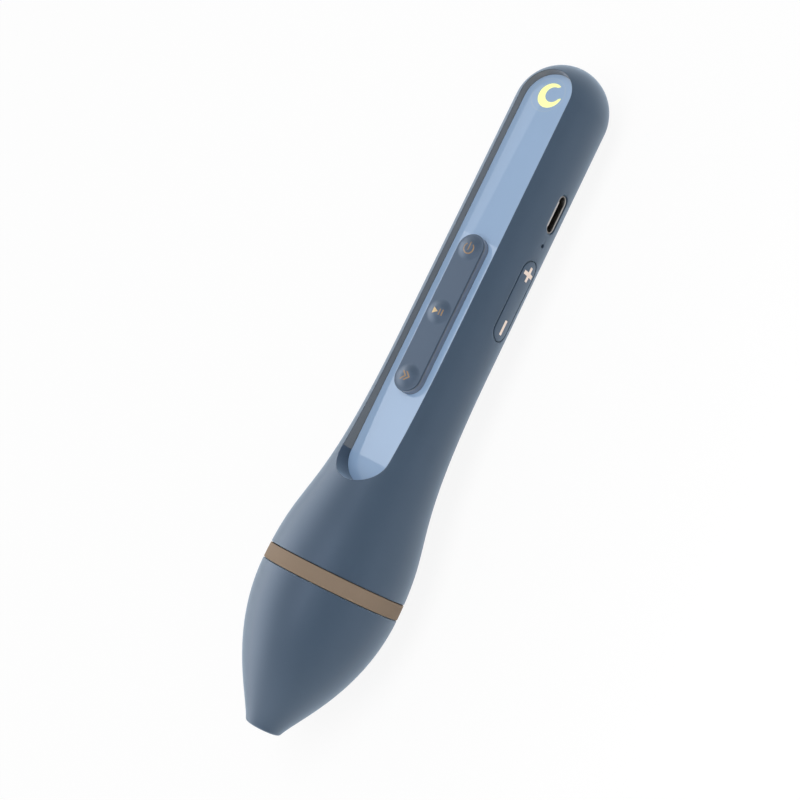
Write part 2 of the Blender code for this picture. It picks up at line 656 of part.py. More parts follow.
def make_key_bar():
    """Raised bar on the panel: its base, the skin over it and the three keys."""
    outline = stadium(KEY_PLACES[-1], KEY_PLACES[0], BAR_HALF_WIDTH, 2 * ARC_STEPS)
    base = piece("keypad_base", prism(outline, PANEL_UNDERSIDE, BASE_TOP), "key_rubber")
    well_floor = BAR_TOP - KEY_DEPTH - KEY_TRAVEL - CLEARANCE
    well = KEY_RADIUS + CLEARANCE
    wells = [prism(disc((x, 0), well), well_floor, BAR_TOP + OVERRUN) for x in KEY_PLACES]
    bores = [prism(disc((x, 0), STEM_RADIUS + CLEARANCE), PANEL_UNDERSIDE - OVERRUN, BAR_TOP)
             for x in KEY_PLACES]
    combine(base, tool("key_wells", merged(wells)))
    combine(base, tool("stem_bores", merged(bores)))
    skin = piece("keypad_skin", prism(outline, BAR_TOP - SKIN_THICKNESS, BAR_TOP), "key_rubber")
    holes = [prism(disc((x, 0), well), BASE_TOP, BAR_TOP + OVERRUN) for x in KEY_PLACES]
    combine(skin, tool("skin_holes", merged(holes)))
    cap_radius = (KEY_RADIUS ** 2 + DOME_HEIGHT ** 2) / (2 * DOME_HEIGHT)
    edge_angle = math.asin(KEY_RADIUS / cap_radius)
    dome = arc((DOME_HEIGHT - cap_radius, 0), cap_radius, edge_angle, 0, DOME_STEPS)
    dome[-1] = (DOME_HEIGHT, 0)
    section = [(STEM_FOOT - BAR_TOP, 0), (STEM_FOOT - BAR_TOP, STEM_RADIUS), (-KEY_DEPTH, STEM_RADIUS),
               (-KEY_DEPTH, KEY_RADIUS)] + dome
    for name, x in zip(("power_button", "play_button", "next_button"), KEY_PLACES):
        piece(name, turned(section, ROUND_SIDES), "key_rubber", (x, 0, BAR_TOP), UP)


def make_switch(name, place, turn=(0, 0, 0)):
    """Small push switch that stands on its board with a plunger on top."""
    half = SWITCH_WIDTH / 2
    switch = piece(name, block((-half, -half, 0), (half, half, SWITCH_BODY)), "bright_steel", place, turn)
    plunger = prism(disc((0, 0), PLUNGER_RADIUS, SMALL_SIDES), SWITCH_BODY / 2,
                    SWITCH_BODY + PLUNGER_HEIGHT)
    combine(switch, tool(name + "_plunger", plunger, place, turn), "UNION")


def make_main_board():
    """Main board under the tray, its chips, key switches and screws."""
    half = BOARD_HALF_WIDTH
    outline = arc((BOARD_END - half, 0), half, -math.pi / 2, math.pi / 2, ARC_STEPS)
    outline += [(BOARD_START, half), (BOARD_START, -half)]
    board = piece("main_board", prism(outline, BOARD_UNDERSIDE, BOARD_TOP), "circuit_green")
    holes = [prism(disc((x, y), SCREW_RADIUS + CLEARANCE, SMALL_SIDES),
                   BOARD_UNDERSIDE - OVERRUN, BOARD_TOP + OVERRUN) for x, y in board_screw_places()]
    combine(board, tool("board_holes", merged(holes)))
    rooms = [socket_room(), volume_room(), microphone_box(CLEARANCE)]
    combine(board, tool("board_relief", merged(rooms)))
    for name, x in zip(("switch_power", "switch_play", "switch_next"), KEY_PLACES):
        make_switch(name, (x, 0, BOARD_TOP + SEAM))
    amplifier_edge = AMPLIFIER_OFFSET - AMPLIFIER_SIDE / 2
    chips = (("processor", PROCESSOR_START, CHIP_EDGE, PROCESSOR_SIDE, PROCESSOR_SIDE),
             ("flash_memory", MEMORY_START, CHIP_EDGE, MEMORY_LENGTH, MEMORY_WIDTH),
             ("amplifier", AMPLIFIER_START, amplifier_edge, AMPLIFIER_SIDE, AMPLIFIER_SIDE))
    for name, x, y, length, width in chips:
        top = BOARD_UNDERSIDE - SEAM
        piece(name, block((x, y, top - CHIP_THICKNESS), (x + length, y + width, top)), "black_plastic")
    head_top = -CLEARANCE - SCREW_HEAD_HEIGHT
    reach = BOARD_THICKNESS + SCREW_REACH - CLEARANCE
    screw = [(head_top, 0), (head_top, SCREW_HEAD_RADIUS), (-CLEARANCE, SCREW_HEAD_RADIUS),
             (-CLEARANCE, SCREW_RADIUS), (reach, SCREW_RADIUS), (reach, 0)]
    for number, (x, y) in enumerate(board_screw_places(), 1):
        piece(f"board_screw_{number}", turned(screw, SMALL_SIDES), "bright_steel",
              (x, y, BOARD_UNDERSIDE), UP)


def socket_room():
    """The room that the charging socket takes, with its clearance."""
    half_length = USB_LENGTH / 2 + CLEARANCE
    half_height = USB_HEIGHT / 2 + CLEARANCE
    return block((USB_PLACE - half_length, -HANDLE_RADIUS, -half_height),
                 (USB_PLACE + half_length, CLEARANCE - USB_INNER_END, half_height))


def volume_room():
    """The room that the volume board and its switches take, with their clearance."""
    half_length = VOLUME_BOARD_LENGTH / 2 + CLEARANCE
    half_height = VOLUME_BOARD_HEIGHT / 2 + CLEARANCE
    inner = volume_board_front() - VOLUME_BOARD_THICKNESS - CLEARANCE
    return block((ROCKER_PLACE - half_length, -BELLY_RADIUS, -half_height),
                 (ROCKER_PLACE + half_length, -inner, half_height))


def microphone_box(gap):
    """The microphone's block against the wall behind the pin hole, grown by a gap."""
    outer = HANDLE_BORE - CLEARANCE
    inner = outer - MICROPHONE_THICKNESS
    half_length, half_width = MICROPHONE_LENGTH / 2 + gap, MICROPHONE_WIDTH / 2 + gap
    return block((PIN_HOLE_PLACE - half_length, -outer - gap, -half_width),
                 (PIN_HOLE_PLACE + half_length, gap - inner, half_width))


def make_socket():
    """Charging socket: a shell with round ends and the tongue in it."""
    front = HANDLE_RADIUS - USB_RECESS
    back = USB_INNER_END
    end = USB_LENGTH / 2 - USB_HEIGHT / 2
    place = (USB_PLACE, 0, 0)
    shell = piece("usb_shell", prism(stadium(-end, end, USB_HEIGHT / 2), back, front),
                  "bright_steel", place, SIDEWAYS)
    bore = USB_HEIGHT / 2 - USB_WALL
    combine(shell, tool("shell_bore", prism(stadium(-end, end, bore), back - OVERRUN, front + OVERRUN),
                        place, SIDEWAYS))
    tongue = piece("usb_tongue", prism(stadium(-end, end, bore - SEAM), back, back + TONGUE_BASE),
                   "black_plastic", place, SIDEWAYS)
    blade = block((-TONGUE_LENGTH / 2, -TONGUE_THICKNESS / 2, back + TONGUE_BASE / 2),
                  (TONGUE_LENGTH / 2, TONGUE_THICKNESS / 2, front - TONGUE_RECESS))
    combine(tongue, tool("tongue_blade", blade, place, SIDEWAYS), "UNION")
    piece("microphone", microphone_box(0), "bright_steel")


def make_rocker():
    """Volume rocker, flush with the handle, on a pin between two ears of the housing."""
    pivot = (ROCKER_PLACE, -ROCKER_AXIS_RADIUS, 0)
    end = ROCKER_LENGTH / 2 - ROCKER_HALF_WIDTH
    inner = ROCKER_INNER - ROCKER_AXIS_RADIUS
    rocker = piece("volume_rocker", prism(stadium(-end, end, ROCKER_HALF_WIDTH), inner,
                                          BELLY_RADIUS - ROCKER_AXIS_RADIUS),
                   "slate_plastic", pivot, SIDEWAYS)
    first, last = ROCKER_PLACE - ROCKER_LENGTH, ROCKER_PLACE + ROCKER_LENGTH
    form = [(first, 0)] + between(BODY, first, last) + [(last, 0)]
    combine(rocker, tool("body_form", turned(form, BODY_SIDES)), "INTERSECT")
    boss = block((-ROCKER_BOSS_HALF_LENGTH, -ROCKER_BOSS_HALF_WIDTH, -ROCKER_BOSS_DEPTH),
                 (ROCKER_BOSS_HALF_LENGTH, ROCKER_BOSS_HALF_WIDTH, inner + ROCKER_THICKNESS / 2))
    combine(rocker, tool("rocker_boss", boss, pivot, SIDEWAYS), "UNION")
    nub_end = inner - ROCKER_NUB_REACH
    nubs = [prism(disc((side * ROCKER_NUB_PLACE, 0), ROCKER_NUB_RADIUS, SMALL_SIDES), nub_end,
                  inner + ROCKER_THICKNESS / 2) for side in (-1, 1)]
    combine(rocker, tool("rocker_nubs", merged(nubs), pivot, SIDEWAYS), "UNION")
    bore_half = ROCKER_HALF_WIDTH + OVERRUN
    combine(rocker, tool("rocker_bore", rod(ROCKER_PIN_RADIUS + CLEARANCE, 2 * bore_half, SMALL_SIDES,
                                            -bore_half), pivot, UP))
    pin_half = ROCKER_HALF_WIDTH + CLEARANCE + EAR_WIDTH
    piece("rocker_pin", rod(ROCKER_PIN_RADIUS, 2 * pin_half, SMALL_SIDES, -pin_half),
          "bright_steel", pivot, UP)
    board_front = volume_board_front()
    switch_foot = board_front + SEAM
    for name, side in (("switch_volume_up", 1), ("switch_volume_down", -1)):
        make_switch(name, (ROCKER_PLACE + side * ROCKER_NUB_PLACE, -switch_foot, 0), SIDEWAYS)
    half_length, half_height = VOLUME_BOARD_LENGTH / 2, VOLUME_BOARD_HEIGHT / 2
    piece("volume_board", block((ROCKER_PLACE - half_length, -board_front, -half_height),
                                (ROCKER_PLACE + half_length, VOLUME_BOARD_THICKNESS - board_front,
                                 half_height)), "circuit_green")


def volume_board_front():
    """Distance from the pen's axis to the face that carries the volume switches."""
    nub_end = ROCKER_INNER - ROCKER_NUB_REACH
    nub_travel = ROCKER_NUB_PLACE * math.tan(ROCKER_TILT)
    return nub_end - nub_travel - SEAM - SWITCH_BODY - PLUNGER_HEIGHT - SEAM


def make_battery():
    """Round cell, the cradle that holds it and its two leads to the main board."""
    section = [(0, 0), (0, BATTERY_RADIUS), (BATTERY_LENGTH, BATTERY_RADIUS),
               (BATTERY_LENGTH, BATTERY_CAP_RADIUS),
               (BATTERY_LENGTH + BATTERY_CAP_HEIGHT, BATTERY_CAP_RADIUS),
               (BATTERY_LENGTH + BATTERY_CAP_HEIGHT, 0)]
    piece("battery", turned(section, ROUND_SIDES), "cell_blue", (BATTERY_START, 0, -BATTERY_DROP))
    bay_start, bay_end = BATTERY_START - CLEARANCE, BATTERY_END + CLEARANCE
    first, last = bay_start - BULKHEAD, bay_end + BULKHEAD
    fit = between(inset(BODY, HOUSING_WALL + CLEARANCE), first, last)
    cradle = piece("battery_cradle", turned([(first, 0)] + fit + [(last, 0)], BODY_SIDES),
                   "black_plastic")
    far = BELLY_RADIUS + OVERRUN
    combine(cradle, tool("cradle_top", block((first - OVERRUN, -far, CRADLE_TOP),
                                             (last + OVERRUN, far, far))))
    bay_half = BATTERY_RADIUS + CLEARANCE
    combine(cradle, tool("cradle_bay", block((bay_start, -bay_half, -far), (bay_end, bay_half, far))))
    combine(cradle, tool("cradle_under", block((bay_start, -far, -far),
                                               (bay_end, far, CRADLE_TOP - RAIL_HEIGHT))))
    notch = block((first - OVERRUN, -LEAD_NOTCH_HALF_WIDTH, -BATTERY_DROP), (bay_start + WELD,
                  LEAD_NOTCH_HALF_WIDTH, far))
    combine(cradle, tool("cradle_notch", notch))
    rooms = [socket_room(), volume_room(), microphone_box(CLEARANCE)]
    combine(cradle, tool("cradle_relief", merged(rooms)))
    make_lead("battery_lead_plus", LEAD_OFFSET, "lead_red")
    make_lead("battery_lead_minus", -LEAD_OFFSET, "black_plastic")


def make_lead(name, side, finish):
    """Insulated lead from the cell's end, round through the notch and back to the main board."""
    start = (BATTERY_START - LEAD_RADIUS, side, -LEAD_DROP_SHARE * BATTERY_DROP)
    end = (BOARD_START - CLEARANCE, side, BOARD_UNDERSIDE + BOARD_THICKNESS / 2)
    route = bezier(start, (start[0] - LEAD_PULL, side, start[2]), (start[0] - LEAD_PULL, side, end[2]),
                   end, LEAD_STEPS)
    curve = bpy.data.curves.new(name, "CURVE")
    curve.dimensions = "3D"
    curve.bevel_depth = LEAD_RADIUS
    curve.bevel_resolution = 2
    curve.use_fill_caps = True
    spline = curve.splines.new("POLY")
    spline.points.add(len(route) - 1)
    for point, place in zip(spline.points, route):
        point.co = (*place, 1)
    curve.materials.append(make_finish(finish))
    lead = bpy.data.objects.new(name, curve)
    lead.parent = PEN
    bpy.context.scene.collection.objects.link(lead)


def make_speaker():
    """Round speaker on its seat behind the sound holes: gasket, basket, magnet and cone."""
    place = (SPEAKER_PLACE, 0, -SPEAKER_SEAT)
    edge, rim = SPEAKER_RADIUS, SPEAKER_RADIUS - SPEAKER_RIM
    gasket_start = SEAM
    gasket_end = gasket_start + GASKET_THICKNESS
    piece("speaker_gasket", turned([(gasket_start, rim), (gasket_start, edge), (gasket_end, edge),
                                    (gasket_end, rim)], ROUND_SIDES), "foam", place, UP)
    front = gasket_end + SEAM
    back = front + SPEAKER_DEPTH
    sheet = SPEAKER_SHEET
    rim_back = front + SPEAKER_RIM_THICKNESS
    magnet_bore = MAGNET_RADIUS + CLEARANCE
    basket = [(front, rim), (front, edge), (rim_back, edge), (rim_back, rim + sheet),
              (back, SPEAKER_BACK_RADIUS), (back, magnet_bore), (back - sheet, magnet_bore),
              (back - sheet, SPEAKER_BACK_RADIUS - sheet), (rim_back, rim)]
    piece("speaker_basket", turned(basket, ROUND_SIDES), "bright_steel", place, UP)
    cone_edge = rim - CLEARANCE
    cone_end = front + CONE_DEPTH
    cone = [(front, cone_edge), (cone_end, CONE_CAP_RADIUS), (front + CONE_SHEET, 0),
            (front + 2 * CONE_SHEET, 0), (cone_end + CONE_SHEET, CONE_CAP_RADIUS),
            (front + CONE_SHEET, cone_edge)]
    piece("speaker_cone", open_turned(cone), "paper_cone", place, UP)
    piece("speaker_magnet", rod(MAGNET_RADIUS, MAGNET_THICKNESS, start=back - sheet - SEAM),
          "bright_steel", place, UP)


def open_turned(points):
    """A turned sheet whose section starts and ends at its rim and crosses the axis between."""
    start = next(index for index, point in enumerate(points) if point[1] == 0) + 1
    return turned(points[start:] + points[:start], ROUND_SIDES)


def make_camera():
    """Reading camera in the nose: holder with barrel and posts, lens, sensor, board and lights."""
    flange_back = HOLDER_FLANGE_PLACE + HOLDER_FLANGE_THICKNESS
    flange_radius = radius_at(NOSE_INSIDE, HOLDER_FLANGE_PLACE) - CLEARANCE
    holder = piece("optic_holder", turned(
        [(BARREL_START, BARREL_BORE), (BARREL_START, BARREL_RADIUS),
         (HOLDER_FLANGE_PLACE, BARREL_RADIUS), (HOLDER_FLANGE_PLACE, flange_radius),
         (flange_back, flange_radius), (flange_back, BARREL_RADIUS), (HOLDER_END, BARREL_RADIUS),
         (HOLDER_END, BARREL_BORE)], ROUND_SIDES), "black_plastic")
    post_length = HOLDER_END - HOLDER_FLANGE_PLACE - HOLDER_FLANGE_THICKNESS / 2
    posts = [moved(rod(POST_RADIUS, post_length, SMALL_SIDES, HOLDER_END - post_length),
                   (0, 0, side * POST_OFFSET)) for side in (-1, 1)]
    combine(holder, tool("holder_posts", merged(posts)), "UNION")
    light_holes = [moved(rod(INFRARED_RADIUS + CLEARANCE, HOLDER_END, SMALL_SIDES),
                         (0, side * INFRARED_OFFSET, 0)) for side in (-1, 1)]
    pilots = [moved(rod(SCREW_RADIUS + CLEARANCE, HOLDER_END, SMALL_SIDES, flange_back),
                    (0, 0, side * POST_OFFSET)) for side in (-1, 1)]
    combine(holder, tool("holder_holes", merged(light_holes + pilots)))
    half_edge = LENS_EDGE / 2
    bulge = [(LENS_PLACE - half_edge - LENS_BULGE, 0),
             (LENS_PLACE - half_edge - LENS_BULGE * 3 / 4, LENS_RADIUS / 2),
             (LENS_PLACE - half_edge, LENS_RADIUS), (LENS_PLACE + half_edge, LENS_RADIUS),
             (LENS_PLACE + half_edge + LENS_BULGE * 3 / 4, LENS_RADIUS / 2),
             (LENS_PLACE + half_edge + LENS_BULGE, 0)]
    piece("optic_lens", turned(bulge, ROUND_SIDES), "clear_glass")
    board_front = HOLDER_END + CLEARANCE
    board_back = board_front + BOARD_THICKNESS
    board = piece("sensor_board", rod(SENSOR_BOARD_RADIUS, BOARD_THICKNESS, start=board_front),
                  "circuit_green")
    holes = [moved(rod(SCREW_RADIUS + CLEARANCE, 2 * OVERRUN, SMALL_SIDES, board_front - OVERRUN),
                   (0, 0, side * POST_OFFSET)) for side in (-1, 1)]
    combine(board, tool("sensor_board_holes", merged(holes)))
    half = SENSOR_SIDE / 2
    piece("image_sensor", block((board_front - SEAM - SENSOR_THICKNESS, -half, -half),
                                (board_front - SEAM, half, half)), "black_plastic")
    light_end = board_front - CLEARANCE
    collar_start = light_end - INFRARED_COLLAR_LENGTH
    collar = INFRARED_RADIUS + INFRARED_COLLAR
    dome = arc((INFRARED_TIP_PLACE + INFRARED_RADIUS, 0), INFRARED_RADIUS, math.pi, math.pi / 2, 4)
    dome[0] = (INFRARED_TIP_PLACE, 0)
    light = dome + [(collar_start, INFRARED_RADIUS), (collar_start, collar), (light_end, collar),
                    (light_end, 0)]
    screw_head = board_back + CLEARANCE
    tip = flange_back + CLEARANCE
    screw = [(tip, 0), (tip, SCREW_RADIUS), (screw_head, SCREW_RADIUS), (screw_head, SCREW_HEAD_RADIUS),
             (screw_head + SCREW_HEAD_HEIGHT, SCREW_HEAD_RADIUS), (screw_head + SCREW_HEAD_HEIGHT, 0)]
    for word, side in (("left", 1), ("right", -1)):
        piece(f"infrared_led_{word}", turned(light, SMALL_SIDES), "dark_glass",
              (0, side * INFRARED_OFFSET, 0))
        piece(f"sensor_screw_{word}", turned(screw, SMALL_SIDES), "bright_steel",
              (0, 0, side * POST_OFFSET))
    make_ribbon(board_back + CLEARANCE)


def make_ribbon(start):
    """Flat cable from the back of the sensor board to the edge of the main board."""
    end = BOARD_START - CLEARANCE
    level = BOARD_UNDERSIDE + BOARD_THICKNESS / 2
    start_level = POST_OFFSET - SCREW_HEAD_RADIUS - RIBBON_SCREW_GAP
    half = RIBBON_THICKNESS / 2
    route = bezier((start, start_level), (start + RIBBON_PULL, start_level),
                   (end - RIBBON_PULL, level), (end, level), NECK_STEPS)
    upper = [(x, z + half) for x, z in route]
    lower = [(x, z - half) for x, z in route]
    piece("sensor_ribbon", prism(upper + lower[::-1], -RIBBON_HALF_WIDTH, RIBBON_HALF_WIDTH),
          "ribbon_amber", turn=SIDEWAYS)


make_nose()
make_ring()
make_housing()
make_panel()
make_key_bar()
make_main_board()
make_socket()
make_rocker()
make_battery()
make_speaker()
make_camera()
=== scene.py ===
"""Looks of the audio reading pen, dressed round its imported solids.

Every piece is built in the pen's own axes: x from the flat tip to the round top end, z out of
the key side and -y out of the socket side. It is then laid down as the solids lie.
"""
import logging
import math
from bisect import bisect_right
from collections.abc import Callable, Sequence
from dataclasses import dataclass, field, replace
from enum import Enum
from functools import cache

import bmesh
import bpy
from mathutils import Matrix, Vector


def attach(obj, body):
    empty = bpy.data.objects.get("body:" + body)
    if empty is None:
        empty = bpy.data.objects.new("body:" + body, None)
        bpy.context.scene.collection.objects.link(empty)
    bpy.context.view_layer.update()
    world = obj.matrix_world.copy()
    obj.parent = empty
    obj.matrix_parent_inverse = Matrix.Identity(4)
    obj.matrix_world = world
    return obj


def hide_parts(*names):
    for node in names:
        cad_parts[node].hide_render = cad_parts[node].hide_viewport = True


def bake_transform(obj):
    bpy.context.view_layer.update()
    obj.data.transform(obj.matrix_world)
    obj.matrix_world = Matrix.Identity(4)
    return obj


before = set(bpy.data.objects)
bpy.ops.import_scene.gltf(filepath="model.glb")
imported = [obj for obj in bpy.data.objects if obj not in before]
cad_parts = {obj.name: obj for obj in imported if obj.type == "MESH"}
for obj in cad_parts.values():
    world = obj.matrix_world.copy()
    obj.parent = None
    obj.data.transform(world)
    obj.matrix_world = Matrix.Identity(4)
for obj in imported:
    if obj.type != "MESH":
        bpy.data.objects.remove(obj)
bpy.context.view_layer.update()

LOG = logging.getLogger("reading_pen")

Point = tuple[float, float]
Colour = tuple[float, float, float]

# How the pen lies: pitch about y, then the place of its axis
PEN_PITCH = 0.044025166
PEN_LAID_DOWN = Matrix.Translation((-0.079346143, 0, 0.017284468)) @ Matrix.Rotation(PEN_PITCH, 4, "Y")
# Turns of a shape: its x up to z, its x out to -y, its z out to -y and its z over to -z
UP = Matrix.Rotation(-math.pi / 2, 4, "Y")
OUT = Matrix.Rotation(-math.pi / 2, 4, "Z")
SIDEWAYS = Matrix.Rotation(math.pi / 2, 4, "X")
BACKWARDS = Matrix.Rotation(math.pi, 4, "X")

TURN_SIDES = 192
BORE_SIDES = 96
PIN_SIDES = 32
CORNER_STEPS = 5
EDGE_STEPS = 4
WELD = 1e-7
WELD_AFTER_CUT = 1e-6
SHARP_ANGLE = math.radians(32)
# A face larger than this is flat right up to its border
FLAT_AREA = 4e-6
# Share of a lip by which its cutter rises clear of the surface
LIP_LIFT = 1 / 16
# Values of the noise between which a tone drifts
CLOUD_LOW, CLOUD_HIGH = 0.3, 0.7
CLEARANCE = 0.0003
SEAM = 0.0002


class Carrier(Enum):
    """Body of the model that a piece rides on."""

    PEN = "pen_body"
    POWER = "power_key"
    PLAY = "play_key"
    NEXT = "next_key"
    VOLUME = "volume_key"


class Slot(Enum):
    """Material slot that a piece takes its finish from."""

    SLATE = "slate_plastic"
    BRONZE = "bronze"
    BLUE_GLOSS = "blue_gloss"
    KEY_RUBBER = "key_rubber"
    MOON = "moon_yellow"
    LIGHT_GUIDE = "light_guide"
    BLACK = "black_plastic"
    DARK_GLASS = "dark_glass"
    CLEAR_GLASS = "clear_glass"
    CIRCUIT = "circuit_green"
    STEEL = "bright_steel"
    CELL = "cell_blue"
    FOAM = "foam"
    PAPER = "paper_cone"
    RED_LEAD = "lead_red"
    RIBBON = "ribbon_amber"


class Cut(Enum):
    """How one shape works on another."""

    AWAY = "DIFFERENCE"
    JOIN = "UNION"


# ---------------------------------------------------------------- outlines


def bezier(corners: Sequence[Point], steps: int) -> list[Point]:
    """Points of a curve through its first and last corner.

    Args:
        corners: Three or four control points.
        steps: Number of stretches.

    Returns:
        The points, both ends included.
    """
    degree = len(corners) - 1
    points = []
    for step in range(steps + 1):
        t = step / steps
        weights = [math.comb(degree, k) * t ** k * (1 - t) ** (degree - k) for k in range(degree + 1)]
        points.append((sum(w * c[0] for w, c in zip(weights, corners)),
                       sum(w * c[1] for w, c in zip(weights, corners))))
    return points


def arc(centre: Point, radius: float, first: float, last: float, steps: int) -> list[Point]:
    """Points of an arc between two angles.

    Args:
        centre: Centre of the arc.
        radius: Its radius.
        first: Angle of the first point.
        last: Angle of the last point.
        steps: Number of stretches.

    Returns:
        The points, both ends included.
    """
    angles = [first + (last - first) * step / steps for step in range(steps + 1)]
    return [(centre[0] + radius * math.cos(a), centre[1] + radius * math.sin(a)) for a in angles]


def eased(corners: Sequence[tuple[float, float, float]]) -> list[Point]:
    """A closed outline with its corners rounded.

    Args:
        corners: Each corner's two coordinates and how far from it the rounding starts.

    Returns:
        The points of the rounded outline.
    """
    points: list[Point] = []
    for index, (x, y, ease) in enumerate(corners):
        here = Vector((x, y))
        if ease <= 0:
            points.append((x, y))
            continue
        before = (Vector(corners[index - 1][:2]) - here).normalized() * ease + here
        after = (Vector(corners[(index + 1) % len(corners)][:2]) - here).normalized() * ease + here
        points += bezier((tuple(before), (x, y), tuple(after)), CORNER_STEPS)
    return points


def plain(points: Sequence[Point]) -> list[tuple[float, float, float]]:
    """Outline points as corners that stay as they are."""
    return [(x, y, 0.0) for x, y in points]


def rectangle(low: Point, high: Point) -> list[Point]:
    """Outline of a rectangle between two corners."""
    return [low, (high[0], low[1]), high, (low[0], high[1])]


@dataclass(frozen=True)
class Stadium:
    """Flat outline of a bar with two round ends, or of a disc where both ends are one place."""

    first: float
    last: float
    half_width: float
    steps: int = 24
    stride: float = 0.0012

    def ring(self, grow: float = 0.0) -> list[Point]:
        """The outline, moved outwards.

        Args:
            grow: How far it moves; negative moves it inwards.

        Returns:
            Its points, always as many.
        """
        reach = self.half_width + grow
        straight = max(round((self.last - self.first) / self.stride), 1)
        points: list[Point] = []
        for centre, start, run in ((self.last, -math.pi / 2, self.first - self.last),
                                   (self.first, math.pi / 2, self.last - self.first)):
            points += arc((centre, 0), reach, start, start + math.pi, self.steps)
            side = points[-1][1]
            if run:
                points += [(centre + run * step / straight, side) for step in range(1, straight)]
            else:
                points.pop()
        return points


def disc(place: float, radius: float, steps: int = 24) -> Stadium:
    """Round outline about a place along the pen."""
    return Stadium(place, place, radius, steps)


@dataclass(frozen=True)
class BodyForm:
    """Outer form of the pen, a body of revolution about x."""

    length: float = 0.1590
    handle_radius: float = 0.0108
    belly_radius: float = 0.0158
    belly_place: float = 0.0328
    neck_place: float = 0.0890
    tip_radius: float = 0.0042
    tip_fillet: float = 0.0007
    tip_angle: float = math.radians(24)
    tip_pull_share: float = 0.155
    nose_pull_share: float = 0.525
    belly_pull_share: float = 0.352
    neck_pull_share: float = 0.742
    housing_wall: float = 0.0016
    nose_wall: float = 0.0018
    fillet_steps: int = 6
    nose_steps: int = 44
    neck_steps: int = 60
    handle_steps: int = 40
    head_steps: int = 36

    @property
    def head_centre(self) -> float:
        """Place of the centre of the round top end."""
        return self.length - self.handle_radius

    def outline(self) -> list[Point]:
        """Half section from the edge of the flat tip to the round top end.

        Returns:
            Places along the axis and radii.
        """
        lean = self.tip_angle
        tip = arc((self.tip_fillet, self.tip_radius - self.tip_fillet), self.tip_fillet,
                  math.pi, math.pi / 2 + lean, self.fillet_steps)
        start, belly = tip[-1], (self.belly_place, self.belly_radius)
        neck = (self.neck_place, self.handle_radius)
        nose_span, neck_span = belly[0] - start[0], neck[0] - belly[0]
        pull = self.tip_pull_share * nose_span
        nose = bezier((start, (start[0] + pull * math.cos(lean), start[1] + pull * math.sin(lean)),
                       (belly[0] - self.nose_pull_share * nose_span, belly[1]), belly), self.nose_steps)
        shoulder = bezier((belly, (belly[0] + self.belly_pull_share * neck_span, belly[1]),
                           (neck[0] - self.neck_pull_share * neck_span, neck[1]), neck), self.neck_steps)
        run = self.head_centre - neck[0]
        handle = [(neck[0] + run * step / self.handle_steps, neck[1]) for step in range(1, self.handle_steps)]
        head = arc((self.head_centre, 0), self.handle_radius, math.pi / 2, 0, self.head_steps)
        head[-1] = (self.length, 0)
        return tip + nose[1:] + shoulder[1:] + handle + head

    def radius(self, place: float) -> float:
        """Radius at a place along the axis.

        Args:
            place: Distance from the flat tip.

        Returns:
            The outer radius there.
        """
        if place >= self.head_centre:
            return math.sqrt(max(self.handle_radius ** 2 - (place - self.head_centre) ** 2, 0))
        table = fine_outline()
        index = max(bisect_right(table, (place, math.inf)) - 1, 0)
        (x0, r0), (x1, r1) = table[index], table[min(index + 1, len(table) - 1)]
        return r0 + (r1 - r0) * (place - x0) / (x1 - x0) if x1 > x0 else r0

    def height(self, place: float, side: float) -> float:
        """Distance of the surface from the axis's level, beside the axis.

        Args:
            place: Distance from the flat tip.
            side: Distance sideways from the axis.

        Returns:
            The height of the surface there.
        """
        return math.sqrt(max(self.radius(place) ** 2 - side ** 2, 0))

    def between(self, first: float, last: float) -> list[Point]:
        """The stretch of the outline between two places.

        Args:
            first: Where it starts along the axis.
            last: Where it ends.

        Returns:
            Its points, with one at each end.
        """
        inner = [point for point in self.outline() if first + WELD < point[0] < last - WELD]
        return [(first, self.radius(first))] + inner + [(last, self.radius(last))]

    def inset(self, depth: float) -> list[Point]:
        """The outline moved inwards by a wall's thickness, square to itself.

        Args:
            depth: The wall's thickness.

        Returns:
            The points that stay outside the axis.
        """
        table = self.outline()
        moved = []
        for index, (x, r) in enumerate(table):
            x0, r0 = table[max(index - 1, 0)]
            x1, r1 = table[min(index + 1, len(table) - 1)]
            length = math.hypot(x1 - x0, r1 - r0)
            moved.append((x + depth * (r1 - r0) / length, r - depth * (x1 - x0) / length))
        moved[-1] = (self.length - depth, 0)
        return [point for point in moved if point[1] >= 0]


BODY = BodyForm()
# Height at which every opening's cutter is clear of the body
ABOVE_BODY = BODY.belly_radius + 0.004


@cache
def fine_outline() -> list[Point]:
    """The body's outline, worked out once."""
    return BODY.outline()


# ---------------------------------------------------------------- shapes


def spun(section: Sequence[Point], sides: int = TURN_SIDES) -> bmesh.types.BMesh:
    """A solid turned about x.

    Args:
        section: Half section; it is closed unless both ends lie on the axis.
        sides: Number of sides round the axis.

    Returns:
        The closed shape.
    """
    shape = bmesh.new()
    verts = [shape.verts.new((x, 0, r)) for x, r in section]
    on_axis = section[0][1] == 0 and section[-1][1] == 0
    ends = verts[1:] if on_axis else verts[1:] + verts[:1]
    edges = [shape.edges.new(pair) for pair in zip(verts, ends)]
    bmesh.ops.spin(shape, geom=verts + edges, cent=(0, 0, 0), axis=(1, 0, 0), dvec=(0, 0, 0),
                   angle=2 * math.pi, steps=sides, use_merge=True)
    bmesh.ops.remove_doubles(shape, verts=shape.verts, dist=WELD)
    bmesh.ops.recalc_face_normals(shape, faces=shape.faces)
    return shape


def rod(radius: float, half_length: float) -> bmesh.types.BMesh:
    """A round rod along x, half of it on each side of the origin."""
    return spun([(-half_length, 0), (-half_length, radius), (half_length, radius), (half_length, 0)], PIN_SIDES)


